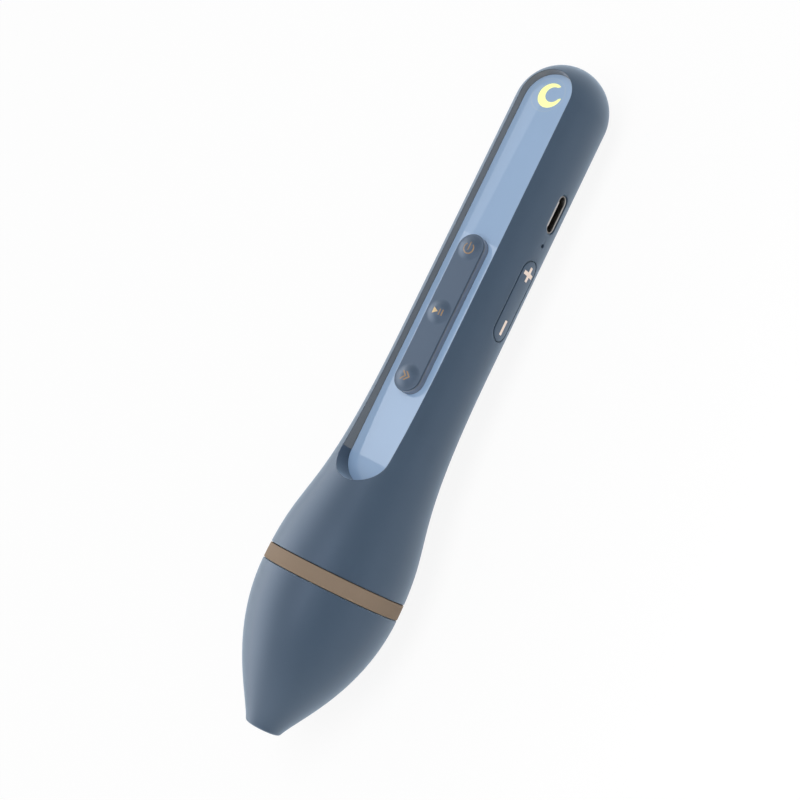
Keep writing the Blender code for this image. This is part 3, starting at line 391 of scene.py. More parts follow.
def lofted(rings: Sequence[Sequence[Sequence[float]]]) -> bmesh.types.BMesh:
    """A solid that grows through outlines with the same number of points.

    Args:
        rings: The outlines, from the first cap to the last.

    Returns:
        The closed shape.
    """
    shape = bmesh.new()
    order = shape.verts.layers.int.new("order")
    verts = [shape.verts.new(point) for point in rings[0]]
    for index, vert in enumerate(verts):
        vert[order] = index
    cap = shape.faces.new(verts)
    for number, ring in enumerate(rings[1:]):
        base = [cap, *cap.edges] if number else [cap]
        grown = bmesh.ops.extrude_face_region(shape, geom=base)["geom"]
        cap = next(item for item in grown if isinstance(item, bmesh.types.BMFace))
        for vert in cap.verts:
            vert.co = ring[vert[order]]
    bmesh.ops.recalc_face_normals(shape, faces=shape.faces)
    return shape


def level(ring: Sequence[Point], height: float) -> list[tuple[float, float, float]]:
    """A flat outline put at a height."""
    return [(x, y, height) for x, y in ring]


def easing(ease: float, turn: float = math.pi / 2, steps: int = CORNER_STEPS) -> list[Point]:
    """How far inwards and how far down a rounded edge lies at each of its steps.

    Args:
        ease: Radius of the edge.
        turn: Angle that it turns through.
        steps: Number of stretches.

    Returns:
        The pairs, from the outside to the top and on.
    """
    angles = [turn * step / steps for step in range(steps + 1)]
    return [(ease * (1 - math.cos(angle)), ease * (1 - math.sin(angle))) for angle in angles]


def slab(plan: Stadium, low: float, high: float, ease: float = 0.0) -> bmesh.types.BMesh:
    """A flat plate with an eased upper edge.

    Args:
        plan: Its outline.
        low: Height of its underside.
        high: Height of its top.
        ease: Radius of the upper edge.

    Returns:
        The closed shape.
    """
    edge = easing(ease) if ease else [(0.0, 0.0)]
    rings = [level(plan.ring(-inwards), high - down) for inwards, down in edge]
    return lofted([level(plan.ring(), low)] + rings)


def block(low: Sequence[float], high: Sequence[float]) -> bmesh.types.BMesh:
    """A box between two corners.

    Args:
        low: Its lowest corner.
        high: Its highest corner.

    Returns:
        The closed shape.
    """
    shape = bmesh.new()
    bmesh.ops.create_cube(shape, size=1)
    bmesh.ops.scale(shape, verts=shape.verts, vec=[b - a for a, b in zip(low, high)])
    return placed(shape, Matrix.Translation([(a + b) / 2 for a, b in zip(low, high)]))


def placed(shape: bmesh.types.BMesh, *places: Matrix) -> bmesh.types.BMesh:
    """A shape moved or turned to its place, in one step or more.

    Args:
        shape: What is moved.
        places: The steps, in order.

    Returns:
        The same shape.
    """
    for place in places:
        bmesh.ops.transform(shape, matrix=place, verts=shape.verts)
    return shape


def at(x: float, y: float = 0.0, z: float = 0.0) -> Matrix:
    """A shift in the pen's axes."""
    return Matrix.Translation((x, y, z))


def merged(shapes: Sequence[bmesh.types.BMesh]) -> bmesh.types.BMesh:
    """Several separate shapes in one.

    Args:
        shapes: The shapes, which are used up.

    Returns:
        The shape that holds them all.
    """
    whole = bmesh.new()
    for shape in shapes:
        mesh = bpy.data.meshes.new("part")
        shape.to_mesh(mesh)
        whole.from_mesh(mesh)
        shape.free()
        bpy.data.meshes.remove(mesh)
    return whole


def carved(shape: bmesh.types.BMesh, tool: bmesh.types.BMesh, cut: Cut = Cut.AWAY) -> bmesh.types.BMesh:
    """One shape cut by another, or joined to it, which uses both up.

    Args:
        shape: What is worked on.
        tool: What works on it.
        cut: What is done.

    Returns:
        The new shape.
    """
    items = []
    for source in (shape, tool):
        mesh = bpy.data.meshes.new("carving")
        source.to_mesh(mesh)
        source.free()
        item = bpy.data.objects.new("carving", mesh)
        bpy.context.scene.collection.objects.link(item)
        items.append(item)
    step = items[0].modifiers.new("carve", "BOOLEAN")
    step.operation, step.solver, step.object = cut.value, "EXACT", items[1]
    seen = items[0].evaluated_get(bpy.context.evaluated_depsgraph_get())
    result = bmesh.new()
    result.from_mesh(seen.to_mesh())
    seen.to_mesh_clear()
    bmesh.ops.remove_doubles(result, verts=result.verts, dist=WELD_AFTER_CUT)
    bmesh.ops.dissolve_degenerate(result, edges=result.edges, dist=WELD_AFTER_CUT)
    for item in items:
        mesh = item.data
        bpy.data.objects.remove(item)
        bpy.data.meshes.remove(mesh)
    return result


def lipped_cutter(plan: Stadium, floor: float, lip: float, probe: float = 0.0001) -> bmesh.types.BMesh:
    """A cutter that sinks an outline into the round body and eases the edge it leaves.

    Args:
        plan: The outline, with its second coordinate across the axis.
        floor: Height at which the cut ends.
        lip: How far from the edge the easing starts.
        probe: How far apart the body's slope is taken.

    Returns:
        The closed cutter, which cuts towards -z.
    """
    edge, beyond = plan.ring(), plan.ring(probe)
    curves = []
    for (x, y), (x1, y1) in zip(edge, beyond):
        rim = BODY.height(x, y)
        slope = (BODY.height(x1, y1) - rim) / probe
        run = lip / math.hypot(1, slope)
        profile = bezier(((0, rim - lip), (0, rim), (run, rim + run * slope + lip * LIP_LIFT)), CORNER_STEPS)
        profile = [(0, floor)] + profile + [(run, ABOVE_BODY)]
        across = ((x1 - x) / probe, (y1 - y) / probe)
        curves.append([(x + d * across[0], y + d * across[1], h) for d, h in profile])
    return lofted(list(zip(*curves)))


def draped(outline: Sequence[Point], surface: Callable[[float, float], float], rise: float,
           stride: float) -> bmesh.types.BMesh:
    """A thin flat mark laid over a curved surface.

    Args:
        outline: The mark's outline.
        surface: Height of the surface at two coordinates.
        rise: How far the mark stands proud; it is sunk by twice that.
        stride: Spacing of the cuts that let it bend.

    Returns:
        The closed shape.
    """
    shape = bmesh.new()
    shape.faces.new([shape.verts.new((x, y, 0)) for x, y in outline])
    for axis in (0, 1):
        values = [point[axis] for point in outline]
        for step in range(1, math.ceil((max(values) - min(values)) / stride)):
            plane = Vector((0, 0, 0))
            plane[axis] = min(values) + step * stride
            normal = Vector((0, 0, 0))
            normal[axis] = 1
            bmesh.ops.bisect_plane(shape, geom=shape.verts[:] + shape.edges[:] + shape.faces[:],
                                   dist=WELD, plane_co=plane, plane_no=normal)
    lower = shape.verts[:]
    grown = bmesh.ops.extrude_face_region(shape, geom=shape.faces[:])["geom"]
    upper = [item for item in grown if isinstance(item, bmesh.types.BMVert)]
    for verts, lift in ((lower, -2 * rise), (upper, rise)):
        for vert in verts:
            vert.co.z = surface(vert.co.x, vert.co.y) + lift
    bmesh.ops.recalc_face_normals(shape, faces=shape.faces)
    return shape


def publish(name: str, shape: bmesh.types.BMesh, finish: "Finish", *stands_for: str,
            carrier: Carrier = Carrier.PEN) -> None:
    """Make a piece of a shape, and have it ride on one body.

    Args:
        name: The piece's name.
        shape: Its shape in the pen's axes, which is used up.
        finish: What it is dressed in.
        stands_for: The solids that it replaces.
        carrier: The body it rides on.
    """
    item = piece(name, shape, finish)
    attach(item, carrier.value)
    if stands_for:
        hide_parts(*stands_for)


def piece(name: str, shape: bmesh.types.BMesh, finish: "Finish") -> bpy.types.Object:
    """Lay a shape down and link it, smooth between its sharp edges.

    Args:
        name: The object's name.
        shape: Its shape in the pen's axes, which is used up.
        finish: What it is dressed in.

    Returns:
        The object, at the origin with its place in its mesh.
    """
    mesh = bpy.data.meshes.new(name)
    placed(shape, PEN_LAID_DOWN).to_mesh(mesh)
    shape.free()
    mesh.shade_smooth()
    mesh.set_sharp_from_angle(angle=SHARP_ANGLE)
    for face in mesh.polygons:
        if face.area > FLAT_AREA:
            for corner in face.loop_indices:
                mesh.edges[mesh.loops[corner].edge_index].use_edge_sharp = True
    mesh.materials.append(finish.material())
    item = bpy.data.objects.new(name, mesh)
    bpy.context.scene.collection.objects.link(item)
    LOG.info("%s: %d faces", name, len(mesh.polygons))
    return item


# ---------------------------------------------------------------- finishes


class Bench:
    """Adds and joins the nodes of one tree."""

    def __init__(self, tree: bpy.types.NodeTree) -> None:
        """Work on a tree."""
        self.tree = tree

    def add(self, kind: str, inputs: dict | None = None, **settings: object) -> bpy.types.Node:
        """Add a node.

        Args:
            kind: Its type, without the ShaderNode before it.
            inputs: Values or sockets for its inputs, by name or number.
            settings: Its own properties.

        Returns:
            The node.
        """
        node = self.tree.nodes.new(kind if kind.startswith("NodeGroup") else "ShaderNode" + kind)
        for key, value in settings.items():
            setattr(node, key, value)
        for key, value in (inputs or {}).items():
            self.feed(node.inputs[key], value)
        return node

    def feed(self, socket: bpy.types.NodeSocket, value: object) -> None:
        """Join a socket to another one, or set its value.

        Args:
            socket: The socket that is fed.
            value: Another node's socket, or a plain value.
        """
        if isinstance(value, bpy.types.NodeSocket):
            self.tree.links.new(value, socket)
        else:
            socket.default_value = value

    def group(self, tree: bpy.types.NodeTree, inputs: dict) -> bpy.types.Node:
        """Place a node group with its own values."""
        return self.add("Group", inputs, node_tree=tree)

    def place(self) -> bpy.types.NodeSocket:
        """The piece's own coordinates, in metres."""
        return self.add("TexCoord").outputs["Object"]

    def noise(self, scale: float | bpy.types.NodeSocket, detail: float = 3.0) -> bpy.types.NodeSocket:
        """Soft noise, with a number of features per metre and of finer layers."""
        inputs = {"Vector": self.place(), "Scale": scale, "Detail": detail}
        return self.add("TexNoise", inputs).outputs["Fac"]

    def ramp(self, value: bpy.types.NodeSocket, low: float, high: float, first: float | object = 0.0,
             last: float | object = 1.0) -> bpy.types.NodeSocket:
        """A value mapped from one range to another.

        Args:
            value: What is mapped.
            low: Where the range starts.
            high: Where it ends.
            first: Result at its start.
            last: Result at its end.

        Returns:
            The mapped value.
        """
        inputs = {"Value": value, "From Min": low, "From Max": high, "To Min": first, "To Max": last}
        return self.add("MapRange", inputs, interpolation_type="SMOOTHSTEP").outputs["Result"]

    def mix(self, factor: bpy.types.NodeSocket, first: object, second: object) -> bpy.types.NodeSocket:
        """Two colours mixed.

        Args:
            factor: Share of the second.
            first: A colour or a socket.
            second: A colour or a socket.

        Returns:
            The mixed colour.
        """
        node = self.add("Mix", data_type="RGBA")
        for index, value in ((0, factor), (6, first), (7, second)):
            self.feed(node.inputs[index], value if isinstance(value, bpy.types.NodeSocket) else (*value, 1))
        return node.outputs[2]

    def math(self, operation: str, first: object, second: object = 0.0) -> bpy.types.NodeSocket:
        """One step of arithmetic."""
        return self.add("Math", {0: first, 1: second}, operation=operation).outputs[0]


def new_group(name: str, inputs: dict[str, float | Colour], outputs: dict[str, str]) -> Bench:
    """Start a shader node group.

    Args:
        name: Its name.
        inputs: Its inputs' names and defaults.
        outputs: Its outputs' names and socket types.

    Returns:
        A bench for its tree, which has its input and output nodes.
    """
    tree = bpy.data.node_groups.new(name, "ShaderNodeTree")
    for label, value in inputs.items():
        kind = "NodeSocketFloat" if isinstance(value, float) else "NodeSocketColor"
        socket = tree.interface.new_socket(name=label, in_out="INPUT", socket_type=kind)
        socket.default_value = value if isinstance(value, float) else (*value, 1)
    for label, kind in outputs.items():
        tree.interface.new_socket(name=label, in_out="OUTPUT", socket_type=kind)
    return Bench(tree)


@cache
def moulded_grain() -> bpy.types.NodeTree:
    """Fine even grain of a moulded or painted surface, as a normal.

    Returns:
        The group's tree, built once.
    """
    bench = new_group("moulded grain", {"Scale": 5000.0, "Height": 0.00001}, {"Normal": "NodeSocketVector"})
    source = bench.add("NodeGroupInput").outputs
    fine = bench.noise(source["Scale"], 2.0)
    bump = bench.add("Bump", {"Height": fine, "Distance": source["Height"], "Strength": 1.0})
    bench.add("NodeGroupOutput", {"Normal": bump.outputs["Normal"]})
    return bench.tree


@cache
def tone_drift() -> bpy.types.NodeTree:
    """Slow drift of tone and roughness over a surface.

    Returns:
        The group's tree, built once.
    """
    inputs = {"Colour": (0.5, 0.5, 0.5), "Roughness": 0.5, "Amount": 0.03, "Scale": 60.0}
    bench = new_group("tone drift", inputs, {"Colour": "NodeSocketColor", "Roughness": "NodeSocketFloat"})
    source = bench.add("NodeGroupInput").outputs
    cloud = bench.noise(source["Scale"], 4.0)
    lower = bench.math("SUBTRACT", 1.0, source["Amount"])
    upper = bench.math("ADD", 1.0, source["Amount"])
    share = bench.ramp(cloud, CLOUD_LOW, CLOUD_HIGH, lower, upper)
    colour = bench.add("HueSaturation", {"Color": source["Colour"], "Value": share}).outputs["Color"]
    rough = bench.math("MULTIPLY", source["Roughness"], share)
    bench.add("NodeGroupOutput", {"Colour": colour, "Roughness": rough})
    return bench.tree


@dataclass(frozen=True)
class Finish:
    """A surface with a drifting tone and a fine grain."""

    name: str
    slot: Slot
    colour: Colour
    roughness: float = 0.5
    metallic: float = 0.0
    specular: float = 0.5
    specular_tint: Colour = (1.0, 1.0, 1.0)
    ior: float = 1.5
    coat: float = 0.0
    coat_roughness: float = 0.03
    sheen: float = 0.0
    sheen_roughness: float = 0.4
    sheen_tint: Colour = (1.0, 1.0, 1.0)
    transmission: float = 0.0
    drift: float = 0.03
    drift_scale: float = 60.0
    grain_scale: float = 6000.0
    grain_height: float = 0.000004

    def material(self) -> bpy.types.Material:
        """The finish's material, built once.

        Returns:
            The material.
        """
        if self.name in bpy.data.materials:
            return bpy.data.materials[self.name]
        material = bpy.data.materials.new(self.name)
        material.use_nodes = True
        material.diffuse_color = (*self.colour, 1)
        bench = Bench(material.node_tree)
        shader = material.node_tree.nodes["Principled BSDF"]
        plain_inputs = {"Metallic": self.metallic, "IOR": self.ior, "Specular IOR Level": self.specular,
                        "Specular Tint": (*self.specular_tint, 1),
                        "Coat Weight": self.coat, "Coat Roughness": self.coat_roughness,
                        "Sheen Weight": self.sheen, "Sheen Roughness": self.sheen_roughness,
                        "Sheen Tint": (*self.sheen_tint, 1), "Transmission Weight": self.transmission}
        for name, value in plain_inputs.items():
            shader.inputs[name].default_value = value
        self.dress(bench, shader)
        return material

    def dress(self, bench: Bench, shader: bpy.types.Node) -> None:
        """Feed the shader's colour, roughness and normal.

        Args:
            bench: Bench of the material's tree.
            shader: Its Principled node.
        """
        drift = bench.group(tone_drift(), {"Colour": self.colour_source(bench), "Roughness": self.roughness,
                                           "Amount": self.drift, "Scale": self.drift_scale})
        grain = bench.group(moulded_grain(), {"Scale": self.grain_scale, "Height": self.grain_height})
        bench.tree.links.new(drift.outputs["Colour"], shader.inputs["Base Color"])
        bench.tree.links.new(drift.outputs["Roughness"], shader.inputs["Roughness"])
        bench.tree.links.new(grain.outputs["Normal"], shader.inputs["Normal"])

    def colour_source(self, bench: Bench) -> object:
        """The colour before it drifts: a value, or a socket in richer finishes."""
        return (*self.colour, 1)


@dataclass(frozen=True)
class GlossPanel(Finish):
    """Glossy panel with a painted ring of glow round the crescent: a paler colour that stands in for the light
    that the light guide's edge throws.
    """

    # Painted light: a paler ring mixed into the base colour round the crescent, where the lit crescent's glow
    # would fall on the panel
    painted_glow: Colour = (0.42, 0.50, 0.52)
    painted_glow_centre: tuple[float, float, float] = (0.1493, 0.0006, 0.0067)
    painted_glow_radius: float = 0.0040
    painted_glow_width: float = 0.0003
    painted_glow_share: float = 0.2

    def colour_source(self, bench: Bench) -> object:
        """The panel's colour with the painted ring of glow mixed in.

        Args:
            bench: Bench of the material's tree.

        Returns:
            The colour's socket.
        """
        centre = PEN_LAID_DOWN @ Vector(self.painted_glow_centre)
        away = bench.add("VectorMath", {0: bench.place(), 1: centre}, operation="DISTANCE").outputs["Value"]
        off = bench.math("ABSOLUTE", bench.math("SUBTRACT", away, self.painted_glow_radius))
        return bench.mix(bench.ramp(off, 0.0, self.painted_glow_width, self.painted_glow_share, 0.0), self.colour, self.painted_glow)


@dataclass(frozen=True)
class TurnedMetal(Finish):
    """Metal with fine turning marks round the pen's axis."""

    pitch: float = 0.00012
    depth: float = 0.0000012

    def dress(self, bench: Bench, shader: bpy.types.Node) -> None:
        """Add the turning marks to the plain finish.

        Args:
            bench: Bench of the material's tree.
            shader: Its Principled node.
        """
        super().dress(bench, shader)
        turned = bench.add("Mapping", {"Vector": bench.place(), "Rotation": (0, -PEN_PITCH, 0)})
        wave = bench.add("TexWave", {"Vector": turned.outputs["Vector"], "Scale": 1 / self.pitch / math.tau,
                                     "Distortion": 2.0, "Detail": 3.0}, bands_direction="X")
        bump = bench.add("Bump", {"Height": wave.outputs["Fac"], "Distance": self.depth,
                                  "Normal": shader.inputs["Normal"].links[0].from_socket})
        bench.tree.links.new(bump.outputs["Normal"], shader.inputs["Normal"])


@dataclass(frozen=True)
class Glow(Finish):
    """Lit window of an even pale colour."""

    light: Colour = (1.0, 1.0, 0.43)
    strength: float = 1.0
    speck_scale: float = 900.0
    speck_share: float = 0.97
    speck_range: Point = (0.2, 0.8)

    def dress(self, bench: Bench, shader: bpy.types.Node) -> None:
        """Add the light, a little weaker in specks.

        Args:
            bench: Bench of the material's tree.
            shader: Its Principled node.
        """
        super().dress(bench, shader)
        soft = bench.ramp(bench.noise(self.speck_scale), *self.speck_range)
        dim = tuple(self.speck_share * part for part in self.light)
        bench.tree.links.new(bench.mix(soft, dim, self.light), shader.inputs["Emission Color"])
        shader.inputs["Emission Strength"].default_value = self.strength


@dataclass(frozen=True)
class CircuitBoard(Finish):
    """Board with traces under its green mask and bare copper pads."""

    trace: Colour = (0.03, 0.26, 0.10)
    pad: Colour = (0.60, 0.42, 0.14)
    trace_scale: float = 260.0
    trace_width: float = 0.035
    trace_shift: float = 0.37
    trace_squash: float = 0.6
    pad_scale: float = 420.0
    pad_scatter: float = 0.4
    pad_range: Point = (0.16, 0.19)

    def colour_source(self, bench: Bench) -> object:
        """Mask, traces and pads.

        Args:
            bench: Bench of the material's tree.

        Returns:
            The colour's socket.
        """
        brick = bench.add("TexBrick", {"Vector": bench.place(), "Scale": self.trace_scale,
                                       "Mortar Size": self.trace_width, "Mortar": (*self.trace, 1),
                                       "Color1": (*self.colour, 1), "Color2": (*self.colour, 1)},
                          offset=self.trace_shift, squash=self.trace_squash)
        cells = bench.add("TexVoronoi", {"Vector": bench.place(), "Scale": self.pad_scale,
                                         "Randomness": self.pad_scatter})
        pads = bench.ramp(cells.outputs["Distance"], *self.pad_range, 1.0, 0.0)
        return bench.mix(pads, brick.outputs["Color"], self.pad)


@dataclass(frozen=True)
class Woven(Finish):
    """Fine cloth with holes, dark between its threads."""

    thread: float = 0.00018
    dark_share: float = 0.1
    thread_range: Point = (0.4, 0.8)

    def colour_source(self, bench: Bench) -> object:
        """Threads that cross, light on dark.

        Args:
            bench: Bench of the material's tree.

        Returns:
            The colour's socket.
        """
        lines = []
        for direction in ("X", "Y"):
            wave = bench.add("TexWave", {"Vector": bench.place(), "Scale": 1 / self.thread / math.tau},
                             bands_direction=direction)
            lines.append(wave.outputs["Fac"])
        high = bench.math("MAXIMUM", *lines)
        dark = tuple(self.dark_share * part for part in self.colour)
        return bench.mix(bench.ramp(high, *self.thread_range), dark, self.colour)


SLATE = Finish("soft slate paint", Slot.SLATE, (0.034, 0.0557, 0.0869), roughness=0.45, specular=0.39,
               specular_tint=(0.64, 0.76, 1.0), sheen=0.65, sheen_roughness=0.5,
               sheen_tint=(0.62, 0.80, 1.0), drift=0.02)
KEY_SLATE = replace(SLATE, name="soft key rubber", slot=Slot.KEY_RUBBER, colour=(0.041, 0.064, 0.099),
                    sheen=0.60, grain_scale=8000.0)
BAR_GREY = Finish("grey bar moulding", Slot.KEY_RUBBER, (0.30, 0.33, 0.38), roughness=0.25, metallic=0.5,
                  drift=0.02)
BRONZE = TurnedMetal("bronze anodised ring", Slot.BRONZE, (0.238, 0.182, 0.135), roughness=0.85,
                     metallic=0.25, specular=0.05, drift=0.03)
LINING_BRONZE = Finish("bronze slot lining", Slot.BRONZE, (0.42, 0.35, 0.29), roughness=0.22, metallic=1.0,
                       drift=0.02)
# Its base colour carries a painted ring of glow round the crescent
PANEL_BLUE = GlossPanel("glossy blue panel", Slot.BLUE_GLOSS, (0.275, 0.405, 0.60), roughness=0.3,
                        specular=0.05, coat=1.0, coat_roughness=0.01, drift=0.01, grain_height=0.0)
MOON_LIGHT = Glow("lit crescent", Slot.MOON, (0.05, 0.05, 0.02), roughness=0.3, specular=0.3)
ICON_COPPER = Finish("copper key print", Slot.KEY_RUBBER, (0.212, 0.132, 0.064), roughness=0.5, metallic=0.2,
                     drift=0.05)
ICON_GOLD = replace(ICON_COPPER, name="gold key print", colour=(0.44, 0.315, 0.153))
VOLUME_PRINT = Finish("warm white print", Slot.SLATE, (0.90, 0.75, 0.65), roughness=0.5, drift=0.02)
SOCKET_STEEL = Finish("satin socket steel", Slot.STEEL, (0.30, 0.29, 0.28), roughness=0.3, metallic=1.0,
                      drift=0.04)
TONGUE_STEEL = Finish("bright tongue plate", Slot.STEEL, (0.75, 0.74, 0.72), roughness=0.25, metallic=0.6)
CONTACT_GOLD = Finish("contact gold", Slot.STEEL, (0.80, 0.55, 0.22), roughness=0.25, metallic=1.0)
BLACK_MOULDED = Finish("black moulding", Slot.BLACK, (0.012, 0.012, 0.013), roughness=0.45,
                       grain_height=0.000008)
SMOKED_GLASS = Finish("smoked window", Slot.DARK_GLASS, (0.012, 0.004, 0.008), roughness=0.04, coat=0.3,
                      drift=0.01, grain_height=0.0)
CLOTH = Woven("sound mesh cloth", Slot.FOAM, (0.05, 0.052, 0.056), roughness=0.8, drift=0.05)

# What the solids that keep their own shape are dressed in
CARRIED_FINISHES: tuple[Finish, ...] = (
    SLATE,
    BRONZE,
    PANEL_BLUE,
    KEY_SLATE,
    SMOKED_GLASS,
    Glow("light source", Slot.MOON, (0.6, 0.6, 0.3), light=(1.0, 0.95, 0.5)),
    Finish("frosted light guide", Slot.LIGHT_GUIDE, (0.85, 0.88, 0.90), roughness=0.3, transmission=0.6),
    Finish("chip moulding", Slot.BLACK, (0.016, 0.016, 0.018), roughness=0.55, grain_height=0.00001),
    Finish("lens glass", Slot.CLEAR_GLASS, (0.95, 0.97, 1.0), roughness=0.02, transmission=1.0, drift=0.01,
           grain_height=0.0),
    CircuitBoard("board mask", Slot.CIRCUIT, (0.012, 0.13, 0.05), roughness=0.35, coat=0.3),
    Finish("plated steel", Slot.STEEL, (0.58, 0.57, 0.55), roughness=0.28, metallic=1.0, drift=0.06),
    Finish("cell wrap", Slot.CELL, (0.045, 0.11, 0.33), roughness=0.3, coat=0.4, drift=0.08),
    Finish("gasket foam", Slot.FOAM, (0.04, 0.04, 0.042), roughness=0.95, grain_scale=3000.0,
           grain_height=0.00006),
    Finish("speaker paper", Slot.PAPER, (0.07, 0.068, 0.064), roughness=0.85, grain_scale=2500.0,
           grain_height=0.00003),
    Finish("red lead sleeve", Slot.RED_LEAD, (0.45, 0.02, 0.02), roughness=0.4),
    Finish("amber ribbon", Slot.RIBBON, (0.52, 0.26, 0.05), roughness=0.3, coat=0.3, drift=0.08),
)


# ---------------------------------------------------------------- pieces


@dataclass(frozen=True)
class NoseCone:
    """Hollow nose with the reading aperture, and the window behind it."""

    aperture: float = 0.0026
    lip: float = 0.0007
    window_radius: float = 0.0029
    window_thickness: float = 0.0008
    flange: float = 0.0030
    spigot_wall: float = 0.0012
    spigot_reach: float = 0.0046
    edge: float = 0.00015

    def build(self, ring: "TrimRing") -> None:
        """Build the cone and its window.

        Args:
            ring: The ring that lies against the cone.
        """
        front = self.lip + SEAM
        back = front + self.window_thickness
        bore = self.window_radius + CLEARANCE
        flange_start = ring.start - self.flange
        spigot = ring.bore - CLEARANCE
        spigot_bore, spigot_end = spigot - self.spigot_wall, ring.end + self.spigot_reach
        outside = [point for point in BODY.outline() if point[0] < ring.start - 2 * self.edge]
        hollow = [p for p in BODY.inset(BODY.nose_wall) if back + SEAM < p[0] < flange_start and p[1] > bore]
        corners = [(0, self.aperture, 2 * self.edge)] + plain(outside)
        corners += [(ring.start, BODY.radius(ring.start), self.edge), (ring.start, spigot, 0),
                    (spigot_end, spigot, self.edge), (spigot_end, spigot_bore, self.edge),
                    (flange_start, spigot_bore, self.edge)]
        corners += plain(hollow[::-1]) + [(hollow[0][0], bore, 0), (self.lip, bore, 0),
                                          (self.lip, self.aperture, self.edge / 2)]
        publish("nose_shell", spun(eased(corners)), SLATE, "nose_cone")
        radius = self.window_radius
        edge = bezier(((front, radius - self.edge), (front, radius), (front + self.edge, radius)), EDGE_STEPS)
        glass = [(front, 0), *edge, (back, radius), (back, 0)]
        publish("reading_window", spun(glass, BORE_SIDES), SMOKED_GLASS, "tip_window")


@dataclass(frozen=True)
class TrimRing:
    """Bronze ring between nose and housing."""

    start: float = 0.03235
    width: float = 0.0038
    depth: float = 0.0019
    edge: float = 0.00015

    @property
    def end(self) -> float:
        """Place where the housing starts."""
        return self.start + self.width

    @property
    def bore(self) -> float:
        """Inner radius of the ring."""
        return BODY.belly_radius - self.depth

    def build(self) -> None:
        """Build the ring with its two turned edges."""
        first, last = self.start + SEAM, self.end - SEAM
        inner = [p for p in BODY.outline() if first + 2 * self.edge < p[0] < last - 2 * self.edge]
        corners = [(first, self.bore, self.edge), (first, BODY.radius(first), self.edge)] + plain(inner)
        corners += [(last, BODY.radius(last), self.edge), (last, self.bore, self.edge)]
        publish("bronze_ring", spun(eased(corners)), BRONZE, "trim_ring")


@dataclass(frozen=True)
class KeySlot:
    """The long slot on the key side and the heights of what lies in it."""

    foot: float = 0.0611
    half_width: float = 0.0063
    panel_drop: float = 0.0041
    panel_thickness: float = 0.0012
    floor_thickness: float = 0.0012
    tray_wall: float = 0.0011
    middle_key_share: float = 0.3927
    key_spacing: float = 0.0154

    @property
    def plan(self) -> Stadium:
        """Outline of the slot."""
        return Stadium(self.foot, BODY.head_centre, self.half_width, steps=48, stride=0.0008)

    @property
    def panel_top(self) -> float:
        """Height of the panel's face."""
        return BODY.handle_radius - self.panel_drop

    @property
    def panel_low(self) -> float:
        """Height of the panel's underside."""
        return self.panel_top - self.panel_thickness

    @property
    def floor_top(self) -> float:
        """Height of the tray's floor."""
        return self.panel_low - CLEARANCE

    @property
    def floor_low(self) -> float:
        """Height of the underside of the tray's floor."""
        return self.floor_top - self.floor_thickness

    @property
    def keys(self) -> tuple[float, float, float]:
        """Places of the power, play and next keys."""
        middle = self.foot + self.middle_key_share * (BODY.head_centre - self.foot)
        return (middle + self.key_spacing, middle, middle - self.key_spacing)


